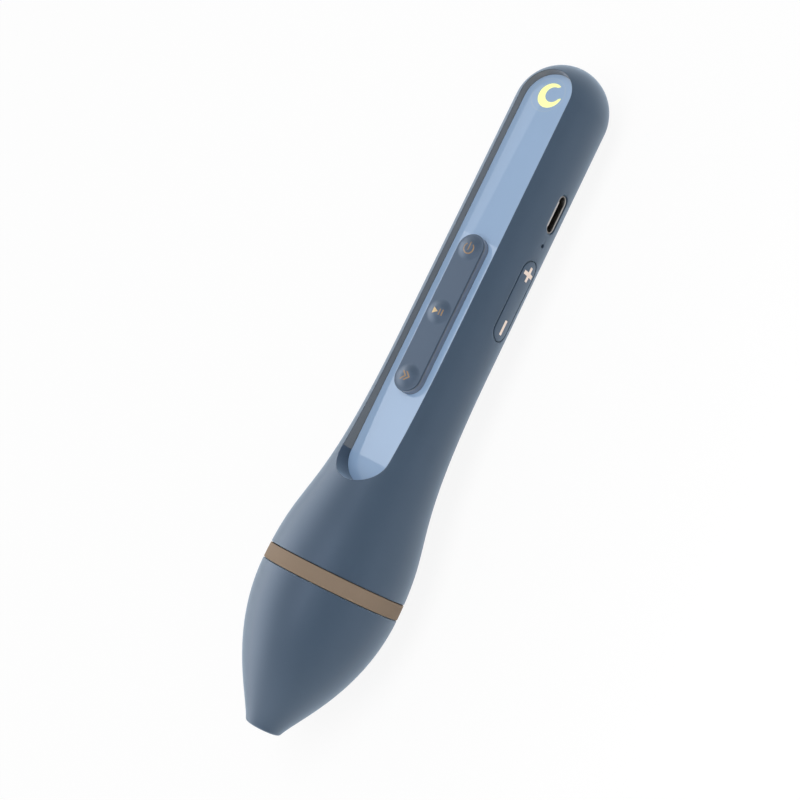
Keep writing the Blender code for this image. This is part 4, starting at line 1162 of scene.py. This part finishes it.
@dataclass(frozen=True)
class Rocker:
    """Volume rocker, flush in the handle's side."""

    place: float = 0.10473
    length: float = 0.0188
    half_width: float = 0.0025
    thickness: float = 0.0019
    axis_depth: float = 0.0028
    pin_radius: float = 0.0005
    boss_half_length: float = 0.0013
    boss_half_width: float = 0.0022
    boss_depth: float = 0.0010
    nub_place: float = 0.0063
    nub_radius: float = 0.0007
    nub_reach: float = 0.0006
    ear_width: float = 0.0010
    ear_half_length: float = 0.0014
    edge: float = 0.00012
    print_rise: float = 0.000025
    plus_place: float = 0.00647
    minus_place: float = -0.00628
    sign_half_length: float = 0.0017
    sign_half_width: float = 0.00044
    arm_half_length: float = 0.00185
    sign_stride: float = 0.00025
    crown_steps: int = 11
    crown_stop: float = 0.0002
    bore_reach: float = 0.002

    @property
    def plan(self) -> Stadium:
        """Outline of the rocker, about its own middle."""
        end = self.length / 2 - self.half_width
        return Stadium(-end, end, self.half_width, steps=28, stride=0.0006)

    @property
    def inner(self) -> float:
        """Distance of its back from the pen's axis."""
        return BODY.handle_radius - self.thickness

    @property
    def axis_radius(self) -> float:
        """Distance of its pin from the pen's axis."""
        return BODY.handle_radius - self.axis_depth

    @property
    def ear_depth(self) -> float:
        """Distance of the housing's ears from the pen's axis."""
        return self.axis_radius - self.pin_radius - 2 * CLEARANCE

    def surface(self, x: float, y: float) -> float:
        """Height of the handle's round side beside the rocker's middle line."""
        return BODY.height(self.place + x, y)

    def build(self) -> None:
        """Build the rocker and its two signs."""
        plan = self.plan
        rings = [level(plan.ring(), self.inner)]
        for inwards, down in easing(self.edge):
            rings.append([(x, y, self.surface(x, y) - down) for x, y in plan.ring(-inwards)])
        for step in range(1, self.crown_steps + 1):
            ring = plan.ring(-self.edge - (self.half_width - self.crown_stop) * step / self.crown_steps)
            rings.append([(x, y, self.surface(x, y)) for x, y in ring])
        back = self.inner + self.thickness / 2
        boss = block((-self.boss_half_length, -self.boss_half_width, self.axis_radius - self.boss_depth),
                     (self.boss_half_length, self.boss_half_width, back))
        shape = carved(lofted(rings), boss, Cut.JOIN)
        nubs = merged([slab(disc(side * self.nub_place, self.nub_radius, 16), self.inner - self.nub_reach, back)
                       for side in (-1, 1)])
        shape = carved(shape, nubs, Cut.JOIN)
        bore = rod(self.pin_radius + CLEARANCE, self.half_width + self.bore_reach)
        shape = carved(shape, placed(bore, OUT, at(0, 0, self.axis_radius)))
        to_side = at(self.place) @ SIDEWAYS
        publish("volume_key_cap", placed(shape, to_side), SLATE, "volume_rocker", carrier=Carrier.VOLUME)
        end, half, arm = self.sign_half_length, self.sign_half_width, self.arm_half_length
        plus = [(end, -half), (end, half), (half, half), (half, arm), (-half, arm), (-half, half), (-end, half),
                (-end, -half), (-half, -half), (-half, -arm), (half, -arm), (half, -half)]
        minus = rectangle((-end, -half), (end, half))
        for name, outline, middle in (("plus_sign", plus, self.plus_place),
                                      ("minus_sign", minus, self.minus_place)):
            outline = [(x + middle, y) for x, y in outline]
            sign = draped(outline, self.surface, self.print_rise, self.sign_stride)
            publish(name, placed(sign, to_side), VOLUME_PRINT, carrier=Carrier.VOLUME)


@dataclass(frozen=True)
class Socket:
    """Charging socket: steel shell, tongue, its front plate and its contacts."""

    place: float = 0.1258
    length: float = 0.00894
    height: float = 0.00326
    depth: float = 0.0073
    wall: float = 0.0003
    recess: float = 0.0003
    tongue_length: float = 0.0067
    tongue_thickness: float = 0.0007
    tongue_base: float = 0.0018
    tongue_recess: float = 0.0009
    contact_count: int = 12
    contact_pitch: float = 0.0005
    contact_half_width: float = 0.000125
    contact_length: float = 0.0026
    contact_rise: float = 0.00003
    contact_start: float = 0.0004
    base_edge: float = 0.0001
    blade_edge: float = 0.00012
    plate_margin: float = 0.0004
    plate_half_width: float = 0.00022
    plate_depth: float = 0.001
    plate_rise: float = 0.00005
    rim_steps: int = 8
    cut_reach: float = 0.001

    def plan(self, grow: float = 0.0) -> Stadium:
        """Outline of the shell, about its own middle."""
        end = (self.length - self.height) / 2
        return Stadium(-end, end, self.height / 2 + grow, steps=28)

    def build(self) -> None:
        """Build the shell, the tongue, its front plate and its contacts."""
        front = BODY.handle_radius - self.recess
        back, top = front - self.depth, front - self.tongue_recess
        to_side = at(self.place) @ SIDEWAYS
        plan = self.plan()
        rings = [level(plan.ring(), back)]
        rings += [level(plan.ring(-inwards), front - down)
                  for inwards, down in easing(self.wall / 2, math.pi, self.rim_steps)]
        rings.append(level(plan.ring(-self.wall), back + self.wall))
        mouth = slab(self.plan(-self.wall), back - self.cut_reach, back + 2 * self.wall)
        publish("socket_shell", placed(carved(lofted(rings), mouth), to_side), SOCKET_STEEL, "usb_shell")
        base = slab(self.plan(-self.wall - SEAM), back, back + self.tongue_base, self.base_edge)
        length, thick = self.tongue_length / 2, self.tongue_thickness / 2
        blade = block((-length, -thick, back + self.tongue_base / 2), (length, thick, top))
        edges = [edge for edge in blade.edges if all(abs(vert.co.z - top) < WELD for vert in edge.verts)]
        bmesh.ops.bevel(blade, geom=edges, offset=self.blade_edge, offset_type="OFFSET", segments=3,
                        profile=0.5, affect="EDGES", material=-1)
        tongue = carved(base, blade, Cut.JOIN)
        publish("socket_tongue", placed(tongue, to_side), BLACK_MOULDED, "usb_tongue")
        plate_length = length - self.plate_margin
        plate = block((-plate_length, -self.plate_half_width, top - self.plate_depth),
                      (plate_length, self.plate_half_width, top + self.plate_rise))
        publish("tongue_plate", placed(plate, to_side), TONGUE_STEEL)
        contacts = self.contacts(thick, top - self.contact_start)
        publish("socket_contacts", placed(contacts, to_side), CONTACT_GOLD)

    def contacts(self, thick: float, high: float) -> bmesh.types.BMesh:
        """The rows of contacts on both faces of the tongue.

        Args:
            thick: Half the tongue's thickness.
            high: Height at which the contacts end.

        Returns:
            The contacts in one shape.
        """
        strips = []
        for side in (-1, 1):
            near, far = sorted((side * (thick - self.contact_rise), side * (thick + self.contact_rise)))
            for index in range(self.contact_count):
                x = (index - (self.contact_count - 1) / 2) * self.contact_pitch
                strips.append(block((x - self.contact_half_width, near, high - self.contact_length),
                                    (x + self.contact_half_width, far, high)))
        return merged(strips)


@dataclass(frozen=True)
class Housing:
    """One-piece upper housing with its slot, tray, bosses, ears and openings."""

    slot: KeySlot
    ring: TrimRing
    rocker: Rocker
    socket: Socket
    slot_lip: float = 0.00008
    lining: float = 0.00015
    lining_proud: float = 0.00002
    small_lip: float = 0.00010
    pin_hole_place: float = 0.11823
    pin_hole_radius: float = 0.0005
    key_window_half_width: float = 0.0024
    guide_radius: float = 0.0038
    moon_place: float = 0.1493
    board_drop: float = 0.0009
    boss_radius: float = 0.0017
    screw_radius: float = 0.0007
    screw_reach: float = 0.0016
    screw_places: tuple[Point, ...] = ((0.0660, 0.0048), (0.0660, -0.0048), (0.1200, 0.0048))
    speaker_place: float = 0.1400
    speaker_seat: float = 0.0066
    speaker_radius: float = 0.0064
    speaker_rim: float = 0.0009
    sound_hole_radius: float = 0.0005
    sound_hole_pitch: float = 0.0019
    sound_hole_rings: int = 2
    sound_hole_fold: int = 6
    sound_hole_sides: int = 24
    sound_hole_start: float = 0.0002
    chamfer: float = 0.0004
    chamfer_depth: float = 0.00015
    chamfer_reach: float = 0.0008
    cloth_margin: float = 0.0002
    cloth_drop: float = 0.00005
    cloth_thickness: float = 0.0001
    rim_edge: float = 0.00015
    overshoot: float = 0.006
    window_reach: float = 0.003
    lining_gap: float = 0.00002
    lining_drop: float = 0.00004
    run_steps: int = 60
    turn_steps: int = 48

    @property
    def board_top(self) -> float:
        """Height of the face that the main board lies against."""
        return self.slot.floor_low - self.board_drop

    def cavity(self) -> bmesh.types.BMesh:
        """The hollow of the housing, less what is left standing in it.

        Returns:
            The cutter.
        """
        slot, rocker = self.slot, self.rocker
        inside = [p for p in BODY.inset(BODY.housing_wall) if p[0] > self.ring.end]
        start = self.ring.end - self.overshoot
        hollow = spun([(start, 0), (start, inside[0][1]), *inside], BORE_SIDES)
        tray = Stadium(slot.foot, BODY.head_centre, slot.half_width + slot.tray_wall, steps=32, stride=0.004)
        hollow = carved(hollow, slab(tray, slot.floor_low, BODY.belly_radius + self.overshoot))
        hollow = carved(hollow, self.screw_posts(self.boss_radius, self.board_top + CLEARANCE, slot.floor_top))
        low, high = self.speaker_radius - self.speaker_rim, self.speaker_radius + self.speaker_rim
        seat = spun([(-self.overshoot, low), (-self.overshoot, high), (0, high), (0, low)], BORE_SIDES)
        hollow = carved(hollow, placed(seat, UP, at(self.speaker_place, 0, -self.speaker_seat)))
        ear_start = rocker.half_width + 2 * CLEARANCE
        ears = [block((rocker.place - rocker.ear_half_length, -BODY.belly_radius, min(near, far)),
                      (rocker.place + rocker.ear_half_length, -rocker.ear_depth, max(near, far)))
                for near, far in ((ear_start, ear_start + rocker.ear_width),
                                  (-ear_start, -ear_start - rocker.ear_width))]
        return carved(hollow, merged(ears))

    def screw_posts(self, radius: float, low: float, high: float) -> bmesh.types.BMesh:
        """Round posts at the places of the board's screws.

        Args:
            radius: Their radius.
            low: Height of their lower ends.
            high: Height of their upper ends.

        Returns:
            The posts in one shape.
        """
        return merged([placed(slab(disc(x, radius, 16), low, high), at(0, y)) for x, y in self.screw_places])

    def sound_holes(self) -> bmesh.types.BMesh:
        """Cutters of the holes in front of the speaker, on the side away from the keys.

        Returns:
            The cutters in one shape.
        """
        places = [(self.speaker_place, 0.0)]
        for ring in range(1, self.sound_hole_rings + 1):
            count = self.sound_hole_fold * ring
            places += arc((self.speaker_place, 0), ring * self.sound_hole_pitch, 0,
                          math.tau * (count - 1) / count, count - 1)
        start, radius = self.speaker_seat - self.sound_hole_start, self.sound_hole_radius
        holes = []
        for x, y in places:
            rim = BODY.height(x, abs(y) + radius) - self.chamfer_depth
            beyond = rim + self.chamfer_reach
            corners = [(start, 0), (start, radius), (rim, radius), (beyond, radius + self.chamfer), (beyond, 0)]
            holes.append(placed(spun(corners, self.sound_hole_sides), UP, at(x, y)))
        return placed(merged(holes), BACKWARDS)

    def side_openings(self) -> list[tuple[Stadium, float]]:
        """The rocker's opening, the socket's mouth and the pin hole.

        Returns:
            Their outlines and the depths at which their cuts end.
        """
        halfway = BODY.handle_radius / 2
        openings = []
        for place, plan, gap, floor in ((self.rocker.place, self.rocker.plan, CLEARANCE, self.rocker.ear_depth),
                                        (self.socket.place, self.socket.plan(), SEAM, halfway)):
            outline = Stadium(place + plan.first, place + plan.last, plan.half_width + gap, steps=28,
                              stride=0.0006)
            openings.append((outline, floor))
        return openings + [(disc(self.pin_hole_place, self.pin_hole_radius, 16), halfway)]

    def build(self) -> None:
        """Carve the housing out of the body's form."""
        slot, rocker, start = self.slot, self.rocker, self.ring.end
        outside = [p for p in BODY.outline() if p[0] > start + 2 * self.rim_edge]
        rim = bezier(((start, BODY.radius(start) - self.rim_edge), (start, BODY.radius(start)),
                      (start + self.rim_edge, BODY.radius(start + self.rim_edge))), EDGE_STEPS)
        shape = carved(spun([(start, 0)] + rim + outside), self.cavity())
        shape = carved(shape, lipped_cutter(slot.plan, slot.floor_top, self.slot_lip))
        key_window = Stadium(slot.keys[2], slot.keys[0], self.key_window_half_width, steps=24, stride=0.01)
        light_window = disc(self.moon_place, self.guide_radius + CLEARANCE, 32)
        low, high = slot.floor_low - self.window_reach, slot.floor_top + self.window_reach
        shape = carved(shape, merged([slab(plan, low, high) for plan in (key_window, light_window)]))
        shape = carved(shape, self.screw_posts(self.screw_radius + CLEARANCE, self.board_top,
                                               self.board_top + self.screw_reach))
        for plan, floor in self.side_openings():
            shape = carved(shape, placed(lipped_cutter(plan, floor, self.small_lip), SIDEWAYS))
        pin_bore = rod(rocker.pin_radius + CLEARANCE, rocker.half_width + rocker.ear_width + 3 * CLEARANCE)
        shape = carved(shape, placed(pin_bore, UP, at(rocker.place, -rocker.axis_radius)))
        publish("upper_shell", carved(shape, self.sound_holes()), SLATE, "upper_housing")
        self.build_lining()
        cloth = slab(disc(self.speaker_place, self.speaker_radius - self.cloth_margin, 32),
                     -self.speaker_seat + self.cloth_drop,
                     -self.speaker_seat + self.cloth_drop + self.cloth_thickness)
        publish("sound_cloth", cloth, CLOTH)

    def build_lining(self) -> None:
        """Build the thin metal strip let into the slot's straight walls and its round upper end."""
        slot, steps, turns, head = self.slot, self.run_steps, self.turn_steps, BODY.head_centre
        inner = slot.half_width - self.lining_proud
        low = slot.panel_top + self.lining_gap
        run = [(slot.foot + (head - slot.foot) * step / steps, -math.pi / 2) for step in range(steps)]
        turn = [(head, math.pi * (step / turns - 0.5)) for step in range(turns + 1)]
        rings = []
        for x, angle in run + turn + [(x, math.pi / 2) for x, _ in reversed(run)]:
            (x0, y0), (x1, y1) = [(x + reach * math.cos(angle), reach * math.sin(angle))
                                  for reach in (inner, inner + self.lining)]
            high = BODY.height(x0, slot.half_width * math.sin(angle)) - self.slot_lip - self.lining_drop
            rings.append([(x0, y0, low), (x0, y0, high), (x1, y1, high), (x1, y1, low)])
        publish("slot_lining", lofted(rings), LINING_BRONZE)


@dataclass(frozen=True)
class Crescent:
    """Crescent light: a disc with a smaller disc and a mouth taken out of it."""

    place: float = 0.14928
    side: float = 0.00008
    radius: float = 0.00296
    inner_radius: float = 0.00182
    shift: Point = (0.00032, -0.00056)
    mouth_half_width: float = 0.0014
    turn: float = math.radians(-64)
    tip_ease: float = 0.00030
    outer_steps: int = 96
    inner_steps: int = 72

    def ring(self, grow: float = 0.0) -> list[Point]:
        """Outline of the crescent, moved outwards.

        Args:
            grow: How far it moves.

        Returns:
            Its points, always as many.
        """
        along = Vector((math.cos(self.turn), math.sin(self.turn)))
        across = Vector((-along.y, along.x))
        bite, outer, inner = Vector(self.shift), self.radius + grow, self.inner_radius - grow
        half = self.mouth_half_width - grow
        ends = []
        for side in (1, -1):
            start = bite + across * side * half
            lean = start.dot(along)
            tip = start + along * (-lean + math.sqrt(lean * lean - start.length_squared + outer * outer))
            heel = start + along * math.sqrt(inner * inner - half * half)
            ends.append((tip, heel))
        (tip0, heel0), (tip1, heel1) = ends
        ease = self.tip_ease
        first = math.atan2(tip0.y, tip0.x) + ease / outer
        last = math.atan2(tip1.y, tip1.x) - ease / outer + math.tau
        points = arc((0, 0), outer, first, last, self.outer_steps)
        points += bezier((points[-1], tuple(tip1), tuple(tip1.lerp(heel1, 0.5))), CORNER_STEPS)[1:]
        start = math.atan2(heel1.y - bite.y, heel1.x - bite.x) - ease / inner + math.tau
        stop = math.atan2(heel0.y - bite.y, heel0.x - bite.x) + ease / inner
        inside = arc(tuple(bite), inner, start, stop, self.inner_steps)
        points += bezier((points[-1], tuple(heel1), inside[0]), CORNER_STEPS)[1:] + inside[1:]
        middle = tuple(tip0.lerp(heel0, 0.5))
        points += bezier((points[-1], tuple(heel0), middle), CORNER_STEPS)[1:]
        points += bezier((middle, tuple(tip0), points[0]), CORNER_STEPS)[1:-1]
        return [(x + self.place, y + self.side) for x, y in points]


@dataclass(frozen=True)
class FrontPanel:
    """Glossy panel in the slot, with the key bar's window and the crescent light."""

    slot: KeySlot
    moon: Crescent = field(default_factory=Crescent)
    gap: float = 0.00004
    edge: float = 0.00004
    light_gap: float = 0.00003
    cut_reach: float = 0.002

    def build(self, bar_half_width: float) -> None:
        """Build the panel and the light in it.

        Args:
            bar_half_width: Half the width of the key bar that stands in the window.
        """
        slot, moon = self.slot, self.moon
        plan = Stadium(slot.foot, BODY.head_centre, slot.half_width - self.gap, steps=48, stride=0.01)
        window = Stadium(slot.keys[2], slot.keys[0], bar_half_width + self.gap, steps=48, stride=0.01)
        low, high = slot.panel_low - self.cut_reach, slot.panel_top + self.cut_reach
        plate = carved(slab(plan, slot.panel_low, slot.panel_top, self.edge), slab(window, low, high))
        hole = moon.ring(self.light_gap)
        plate = carved(plate, lofted([level(hole, low), level(hole, high)]))
        publish("gloss_panel", plate, PANEL_BLUE, "front_panel")
        lens = lofted([level(moon.ring(), slot.panel_low), level(moon.ring(), slot.panel_top - self.edge),
                       level(moon.ring(-self.edge), slot.panel_top)])
        publish("crescent_light", lens, MOON_LIGHT, "moon_lens")


@dataclass(frozen=True)
class KeyBar:
    """Raised bar with three domed keys under one skin."""

    slot: KeySlot
    half_width: float = 0.0033
    rise: float = 0.0021
    skin: float = 0.00028
    key_radius: float = 0.0027
    key_depth: float = 0.0013
    travel: float = 0.0004
    stem_radius: float = 0.0012
    stem_foot: float = 0.0048
    dome_height: float = 0.00075
    dome_flat: float = 0.0008
    membrane: float = 0.00008
    print_rise: float = 0.00002
    sign_stride: float = 0.0002
    line: float = 0.00024
    print_shift: Point = (-0.0001, -0.00016)
    base_edge: float = 0.00008
    skin_edge: float = 0.0002
    cut_reach: float = 0.002
    dome_steps: int = 36
    stretch_radius: float = 0.00165
    crown_gap: float = 0.0001
    shoulder_drop: float = 0.0002
    circle_radius: float = 0.00118
    circle_place: float = -0.0002
    circle_gap: float = math.radians(38)
    circle_steps: int = 48
    stroke_ends: Point = (-0.00065, 0.00128)
    pause_half_length: float = 0.0007
    pause_half_width: float = 0.000125
    pause_sides: Point = (-0.00044, -0.00111)
    triangle_half: float = 0.00075
    triangle_length: float = 0.0013
    chevron_tips: Point = (0.0, -0.00098)
    chevron_half: float = 0.001
    chevron_rise: float = 0.00107
    chevron_width: float = 0.00045

    @property
    def top(self) -> float:
        """Height of the bar's face."""
        return self.slot.panel_top + self.rise

    @property
    def rim(self) -> float:
        """Radius at which a dome meets the bar's face."""
        return self.key_radius + CLEARANCE

    def swell(self, distance: float) -> float:
        """Height of a dome over the bar's face.

        Args:
            distance: Distance from the dome's middle.

        Returns:
            The height there.
        """
        share = min(max((distance - self.dome_flat) / (self.rim - self.dome_flat), 0), 1)
        return self.dome_height * (1 - share * share * (3 - 2 * share))

    def over_dome(self, x: float, y: float) -> float:
        """Height of a dome at two coordinates from its middle."""
        return self.top + self.swell(math.hypot(x, y))

    def build_bar(self) -> None:
        """Build the bar's base and the skin over it."""
        slot = self.slot
        plan = Stadium(slot.keys[2], slot.keys[0], self.half_width, steps=48, stride=0.01)
        base_top, beyond = self.top - self.skin - SEAM, self.top + self.cut_reach
        well_floor = self.top - self.key_depth - self.travel - CLEARANCE
        wells = [disc(x, self.rim, 48) for x in slot.keys]
        base = slab(plan, slot.panel_low, base_top, self.base_edge)
        base = carved(base, merged([slab(well, well_floor, beyond) for well in wells]))
        base = carved(base, merged([slab(disc(x, self.stem_radius + CLEARANCE), slot.panel_low - self.cut_reach,
                                         self.top) for x in slot.keys]))
        publish("bar_base", base, BAR_GREY, "keypad_base")
        skin = slab(plan, self.top - self.skin, self.top, self.skin_edge)
        skin = carved(skin, merged([slab(well, base_top, beyond) for well in wells]))
        publish("bar_skin", skin, KEY_SLATE, "keypad_skin")

    def build_key(self, label: str, x: float, carrier: Carrier) -> None:
        """Build one key's plunger and the skin's dome over it.

        Args:
            label: The key's name.
            x: Its place.
            carrier: The body it rides on.
        """
        radii = [self.rim * step / self.dome_steps for step in range(self.dome_steps + 1)]
        crown = [(self.swell(r), r) for r in radii]
        under = [(h - self.membrane, r) for h, r in reversed(crown)]
        to_place = at(x, 0, self.top) @ UP
        dome = piece(f"{label}_dome", placed(spun(crown + under, BORE_SIDES), to_place), KEY_SLATE)
        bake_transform(dome)
        foot = self.stem_foot - self.top
        face = [(self.swell(r) - 2 * self.membrane, r) for r in radii if r < self.key_radius - self.crown_gap]
        section = [(foot, 0), (foot, self.stem_radius), (-self.key_depth, self.stem_radius),
                   (-self.key_depth, self.key_radius), (face[-1][0] - self.shoulder_drop, self.key_radius)]
        plunger = spun(section + face[::-1], BORE_SIDES)
        publish(f"{label}_plunger", placed(plunger, to_place), KEY_SLATE, f"{label}_button", carrier=carrier)

    def print_sign(self, name: str, outlines: Sequence[Sequence[Point]], x: float, carrier: Carrier,
                   finish: Finish) -> None:
        """Lay a key's sign over its dome.

        Args:
            name: The sign's name.
            outlines: Its outlines, from the key's middle.
            x: The key's place.
            carrier: The body it rides on.
            finish: What it is printed in.
        """
        dx, dy = self.print_shift
        outlines = [[(u + dx, v + dy) for u, v in outline] for outline in outlines]
        marks = [draped(outline, self.over_dome, self.print_rise, self.sign_stride) for outline in outlines]
        publish(name, placed(merged(marks), at(x)), finish, carrier=carrier)

    def print_signs(self) -> None:
        """Print the power, pause, play and skip signs."""
        power, play, after = self.slot.keys
        half, gap, centre = self.line / 2, self.circle_gap, (self.circle_place, 0)
        circle = arc(centre, self.circle_radius + half, gap, math.tau - gap, self.circle_steps)
        circle += arc(centre, self.circle_radius - half, math.tau - gap, gap, self.circle_steps)
        stroke = rectangle((self.stroke_ends[0], -half), (self.stroke_ends[1], half))
        bars = [rectangle((-self.pause_half_length, y - self.pause_half_width),
                          (self.pause_half_length, y + self.pause_half_width)) for y in self.pause_sides]
        side = self.triangle_half
        triangle = [(-side, self.triangle_length), (0, 0.0), (side, self.triangle_length)]
        side, rise, width = self.chevron_half, self.chevron_rise, self.chevron_width
        chevrons = [[(0, tip), (side, tip + rise), (side, tip + rise + width), (0, tip + width),
                     (-side, tip + rise + width), (-side, tip + rise)] for tip in self.chevron_tips]
        self.print_sign("power_sign", [circle, stroke], power, Carrier.POWER, ICON_COPPER)
        self.print_sign("pause_sign", bars, play, Carrier.PLAY, ICON_COPPER)
        self.print_sign("play_sign", [triangle], play, Carrier.PLAY, ICON_GOLD)
        self.print_sign("skip_sign", chevrons, after, Carrier.NEXT, ICON_COPPER)

    def build(self) -> None:
        """Build the bar, the keys and their signs."""
        self.build_bar()
        carriers = (Carrier.POWER, Carrier.PLAY, Carrier.NEXT)
        for label, x, carrier in zip(("power", "play", "next"), self.slot.keys, carriers):
            self.build_key(label, x, carrier)
        self.print_signs()


class CarriedSolids:
    """Solids that keep their own shape and get a better finish."""

    def dress(self) -> None:
        """Give each material slot of every solid the finish of that slot."""
        by_name = {finish.slot.value: finish for finish in CARRIED_FINISHES}
        for name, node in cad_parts.items():
            for place in node.material_slots:
                label = place.material.name.split(".")[0] if place.material else ""
                if label in by_name:
                    place.material = by_name[label].material()
                else:
                    LOG.warning("%s has no finish for %s", name, label)


# ---------------------------------------------------------------- studio


@dataclass(frozen=True)
class PhotoCamera:
    """Camera that stands where the photograph was taken from."""

    lens: float = 63.0
    sensor: float = 36.0
    half_frame: float = 400.0
    focal_pixels: float = 1400.0
    aim_place: float = 0.07542
    aim_pixel: Point = (417.58, 408.41)
    distance: float = 0.3035
    lean: float = math.radians(25.98)
    depth_tilt: float = math.radians(-5.658)
    roll: float = math.radians(-34.65)
    clip_start: float = 0.01

    def build(self) -> None:
        """Place the camera from the pen's axes as it sees them."""
        along = Vector((math.cos(self.depth_tilt) * math.sin(self.lean),
                        math.cos(self.depth_tilt) * math.cos(self.lean), math.sin(self.depth_tilt)))
        right = Vector((math.cos(self.lean), -math.sin(self.lean), 0))
        facing = right.cross(along)
        key_side = math.cos(self.roll) * facing + math.sin(self.roll) * right
        back_side = math.sin(self.roll) * facing - math.cos(self.roll) * right
        pen_to_camera = Matrix((along, back_side, key_side)).transposed()
        turn = PEN_LAID_DOWN.to_3x3() @ pen_to_camera.transposed()
        column, row = self.aim_pixel
        aim = Vector(((column - self.half_frame) / self.focal_pixels * self.distance,
                      (self.half_frame - row) / self.focal_pixels * self.distance, -self.distance))
        camera = bpy.data.cameras.new("photo_camera")
        camera.lens, camera.sensor_width, camera.clip_start = self.lens, self.sensor, self.clip_start
        item = bpy.data.objects.new("photo_camera", camera)
        place = PEN_LAID_DOWN @ Vector((self.aim_place, 0, 0)) - turn @ aim
        item.matrix_world = Matrix.Translation(place) @ turn.to_4x4()
        bpy.context.scene.collection.objects.link(item)
        bpy.context.scene.camera = item


@dataclass(frozen=True)
class SoftBox:
    """One large soft lamp, aimed at the pen or at the floor beside it."""

    name: str
    place: tuple[float, float, float]
    size: tuple[float, float]
    watts: float
    aim: tuple[float, float, float] = (0.0, 0.0, 0.0)
    spread: float = math.pi
    mirrored_only: bool = False

    def build(self) -> None:
        """Hang the lamp and turn it to what it lights."""
        lamp = bpy.data.lights.new(self.name, "AREA")
        lamp.shape, lamp.size, lamp.size_y = "RECTANGLE", *self.size
        lamp.energy, lamp.spread = self.watts, self.spread
        item = bpy.data.objects.new(self.name, lamp)
        item.location = self.place
        item.rotation_euler = (Vector(self.aim) - Vector(self.place)).to_track_quat("-Z", "Y").to_euler()
        item.visible_camera = False
        item.visible_diffuse = not self.mirrored_only
        bpy.context.scene.collection.objects.link(item)


@dataclass(frozen=True)
class Studio:
    """Pale floor, white surroundings and soft lamps."""

    sky: float = 0.5
    floor_half: float = 3.0
    floor_colour: Colour = (0.90, 0.90, 0.90)
    white_share: float = 0.90
    lamps: tuple[SoftBox, ...] = (
        SoftBox("back_softbox", (-0.1, 0.62, 0.26), (1.1, 0.7), 9.5, mirrored_only=True),
        SoftBox("tip_softbox", (-0.6, 0.15, 0.2), (0.8, 0.5), 1.9, mirrored_only=True),
        SoftBox("panel_softbox", (0.111, 0.335, 0.49), (0.158, 0.22), 0.275, (0.111, 0.0, 0.01),
                mirrored_only=True),
        SoftBox("faint_softbox", (0.246, 0.377, 0.461), (0.112, 0.10), 0.036, (0.246, 0.0, -0.0068),
                mirrored_only=True),
        SoftBox("top_softbox", (0.0, -0.05, 0.9), (1.0, 0.3), 4.6),
        SoftBox("low_softbox", (0.0, -0.6, 0.05), (1.4, 0.08), 0.8),
        SoftBox("floor_wash", (0.0, -0.32, 0.6), (0.7, 0.35), 1.5, (0.0, -0.32, 0.0), math.radians(25)),
    )

    def seen_directly(self, bench: Bench) -> bpy.types.NodeSocket:
        """One where the eye, a reflection or a view through glass meets the surroundings.

        Args:
            bench: Bench of the tree that asks.

        Returns:
            The factor's socket.
        """
        path = bench.add("LightPath")
        seen = bench.math("MAXIMUM", path.outputs["Is Camera Ray"], path.outputs["Is Glossy Ray"])
        return bench.math("MAXIMUM", seen, path.outputs["Is Transmission Ray"])

    def build(self) -> None:
        """Build the floor, the sky and the lamps."""
        world = bpy.data.worlds.new("studio")
        bpy.context.scene.world = world
        world.use_nodes = True
        bench = Bench(world.node_tree)
        ground = world.node_tree.nodes["Background"]
        ground.inputs["Color"].default_value = (1, 1, 1, 1)
        strength = bench.add("MapRange", {"Value": self.seen_directly(bench), "To Min": self.sky})
        world.node_tree.links.new(strength.outputs["Result"], ground.inputs["Strength"])
        self.lay_floor()
        for lamp in self.lamps:
            lamp.build()

    def lay_floor(self) -> None:
        """Lay the floor, white to the eye but for the pen's soft shadow."""
        shape = bmesh.new()
        bmesh.ops.create_grid(shape, x_segments=1, y_segments=1, size=self.floor_half)
        mesh = bpy.data.meshes.new("studio_floor")
        shape.to_mesh(mesh)
        shape.free()
        material = bpy.data.materials.new("pale floor")
        material.use_nodes = True
        tree = material.node_tree
        bench = Bench(tree)
        tree.nodes.remove(tree.nodes["Principled BSDF"])
        matt = bench.add("BsdfDiffuse", {"Color": (*self.floor_colour, 1)})
        white = bench.add("Emission", {"Color": (1, 1, 1, 1), "Strength": 1.0})
        share = bench.math("MULTIPLY", self.seen_directly(bench), self.white_share)
        mixed = bench.add("MixShader", {0: share, 1: matt.outputs[0], 2: white.outputs[0]})
        tree.links.new(mixed.outputs[0], tree.nodes["Material Output"].inputs["Surface"])
        mesh.materials.append(material)
        floor = bpy.data.objects.new("studio_floor", mesh)
        bpy.context.scene.collection.objects.link(floor)


def main() -> None:
    """Build the studio and every piece, in order."""
    logging.basicConfig(level=logging.INFO, format="%(name)s %(message)s")
    bpy.context.scene.view_settings.view_transform = "Standard"
    PhotoCamera().build()
    Studio().build()
    CarriedSolids().dress()
    ring, slot, rocker, socket = TrimRing(), KeySlot(), Rocker(), Socket()
    NoseCone().build(ring)
    ring.build()
    Housing(slot, ring, rocker, socket).build()
    bar = KeyBar(slot)
    FrontPanel(slot).build(bar.half_width)
    bar.build()
    rocker.build()
    socket.build()


if __name__ == "__main__":
    main()
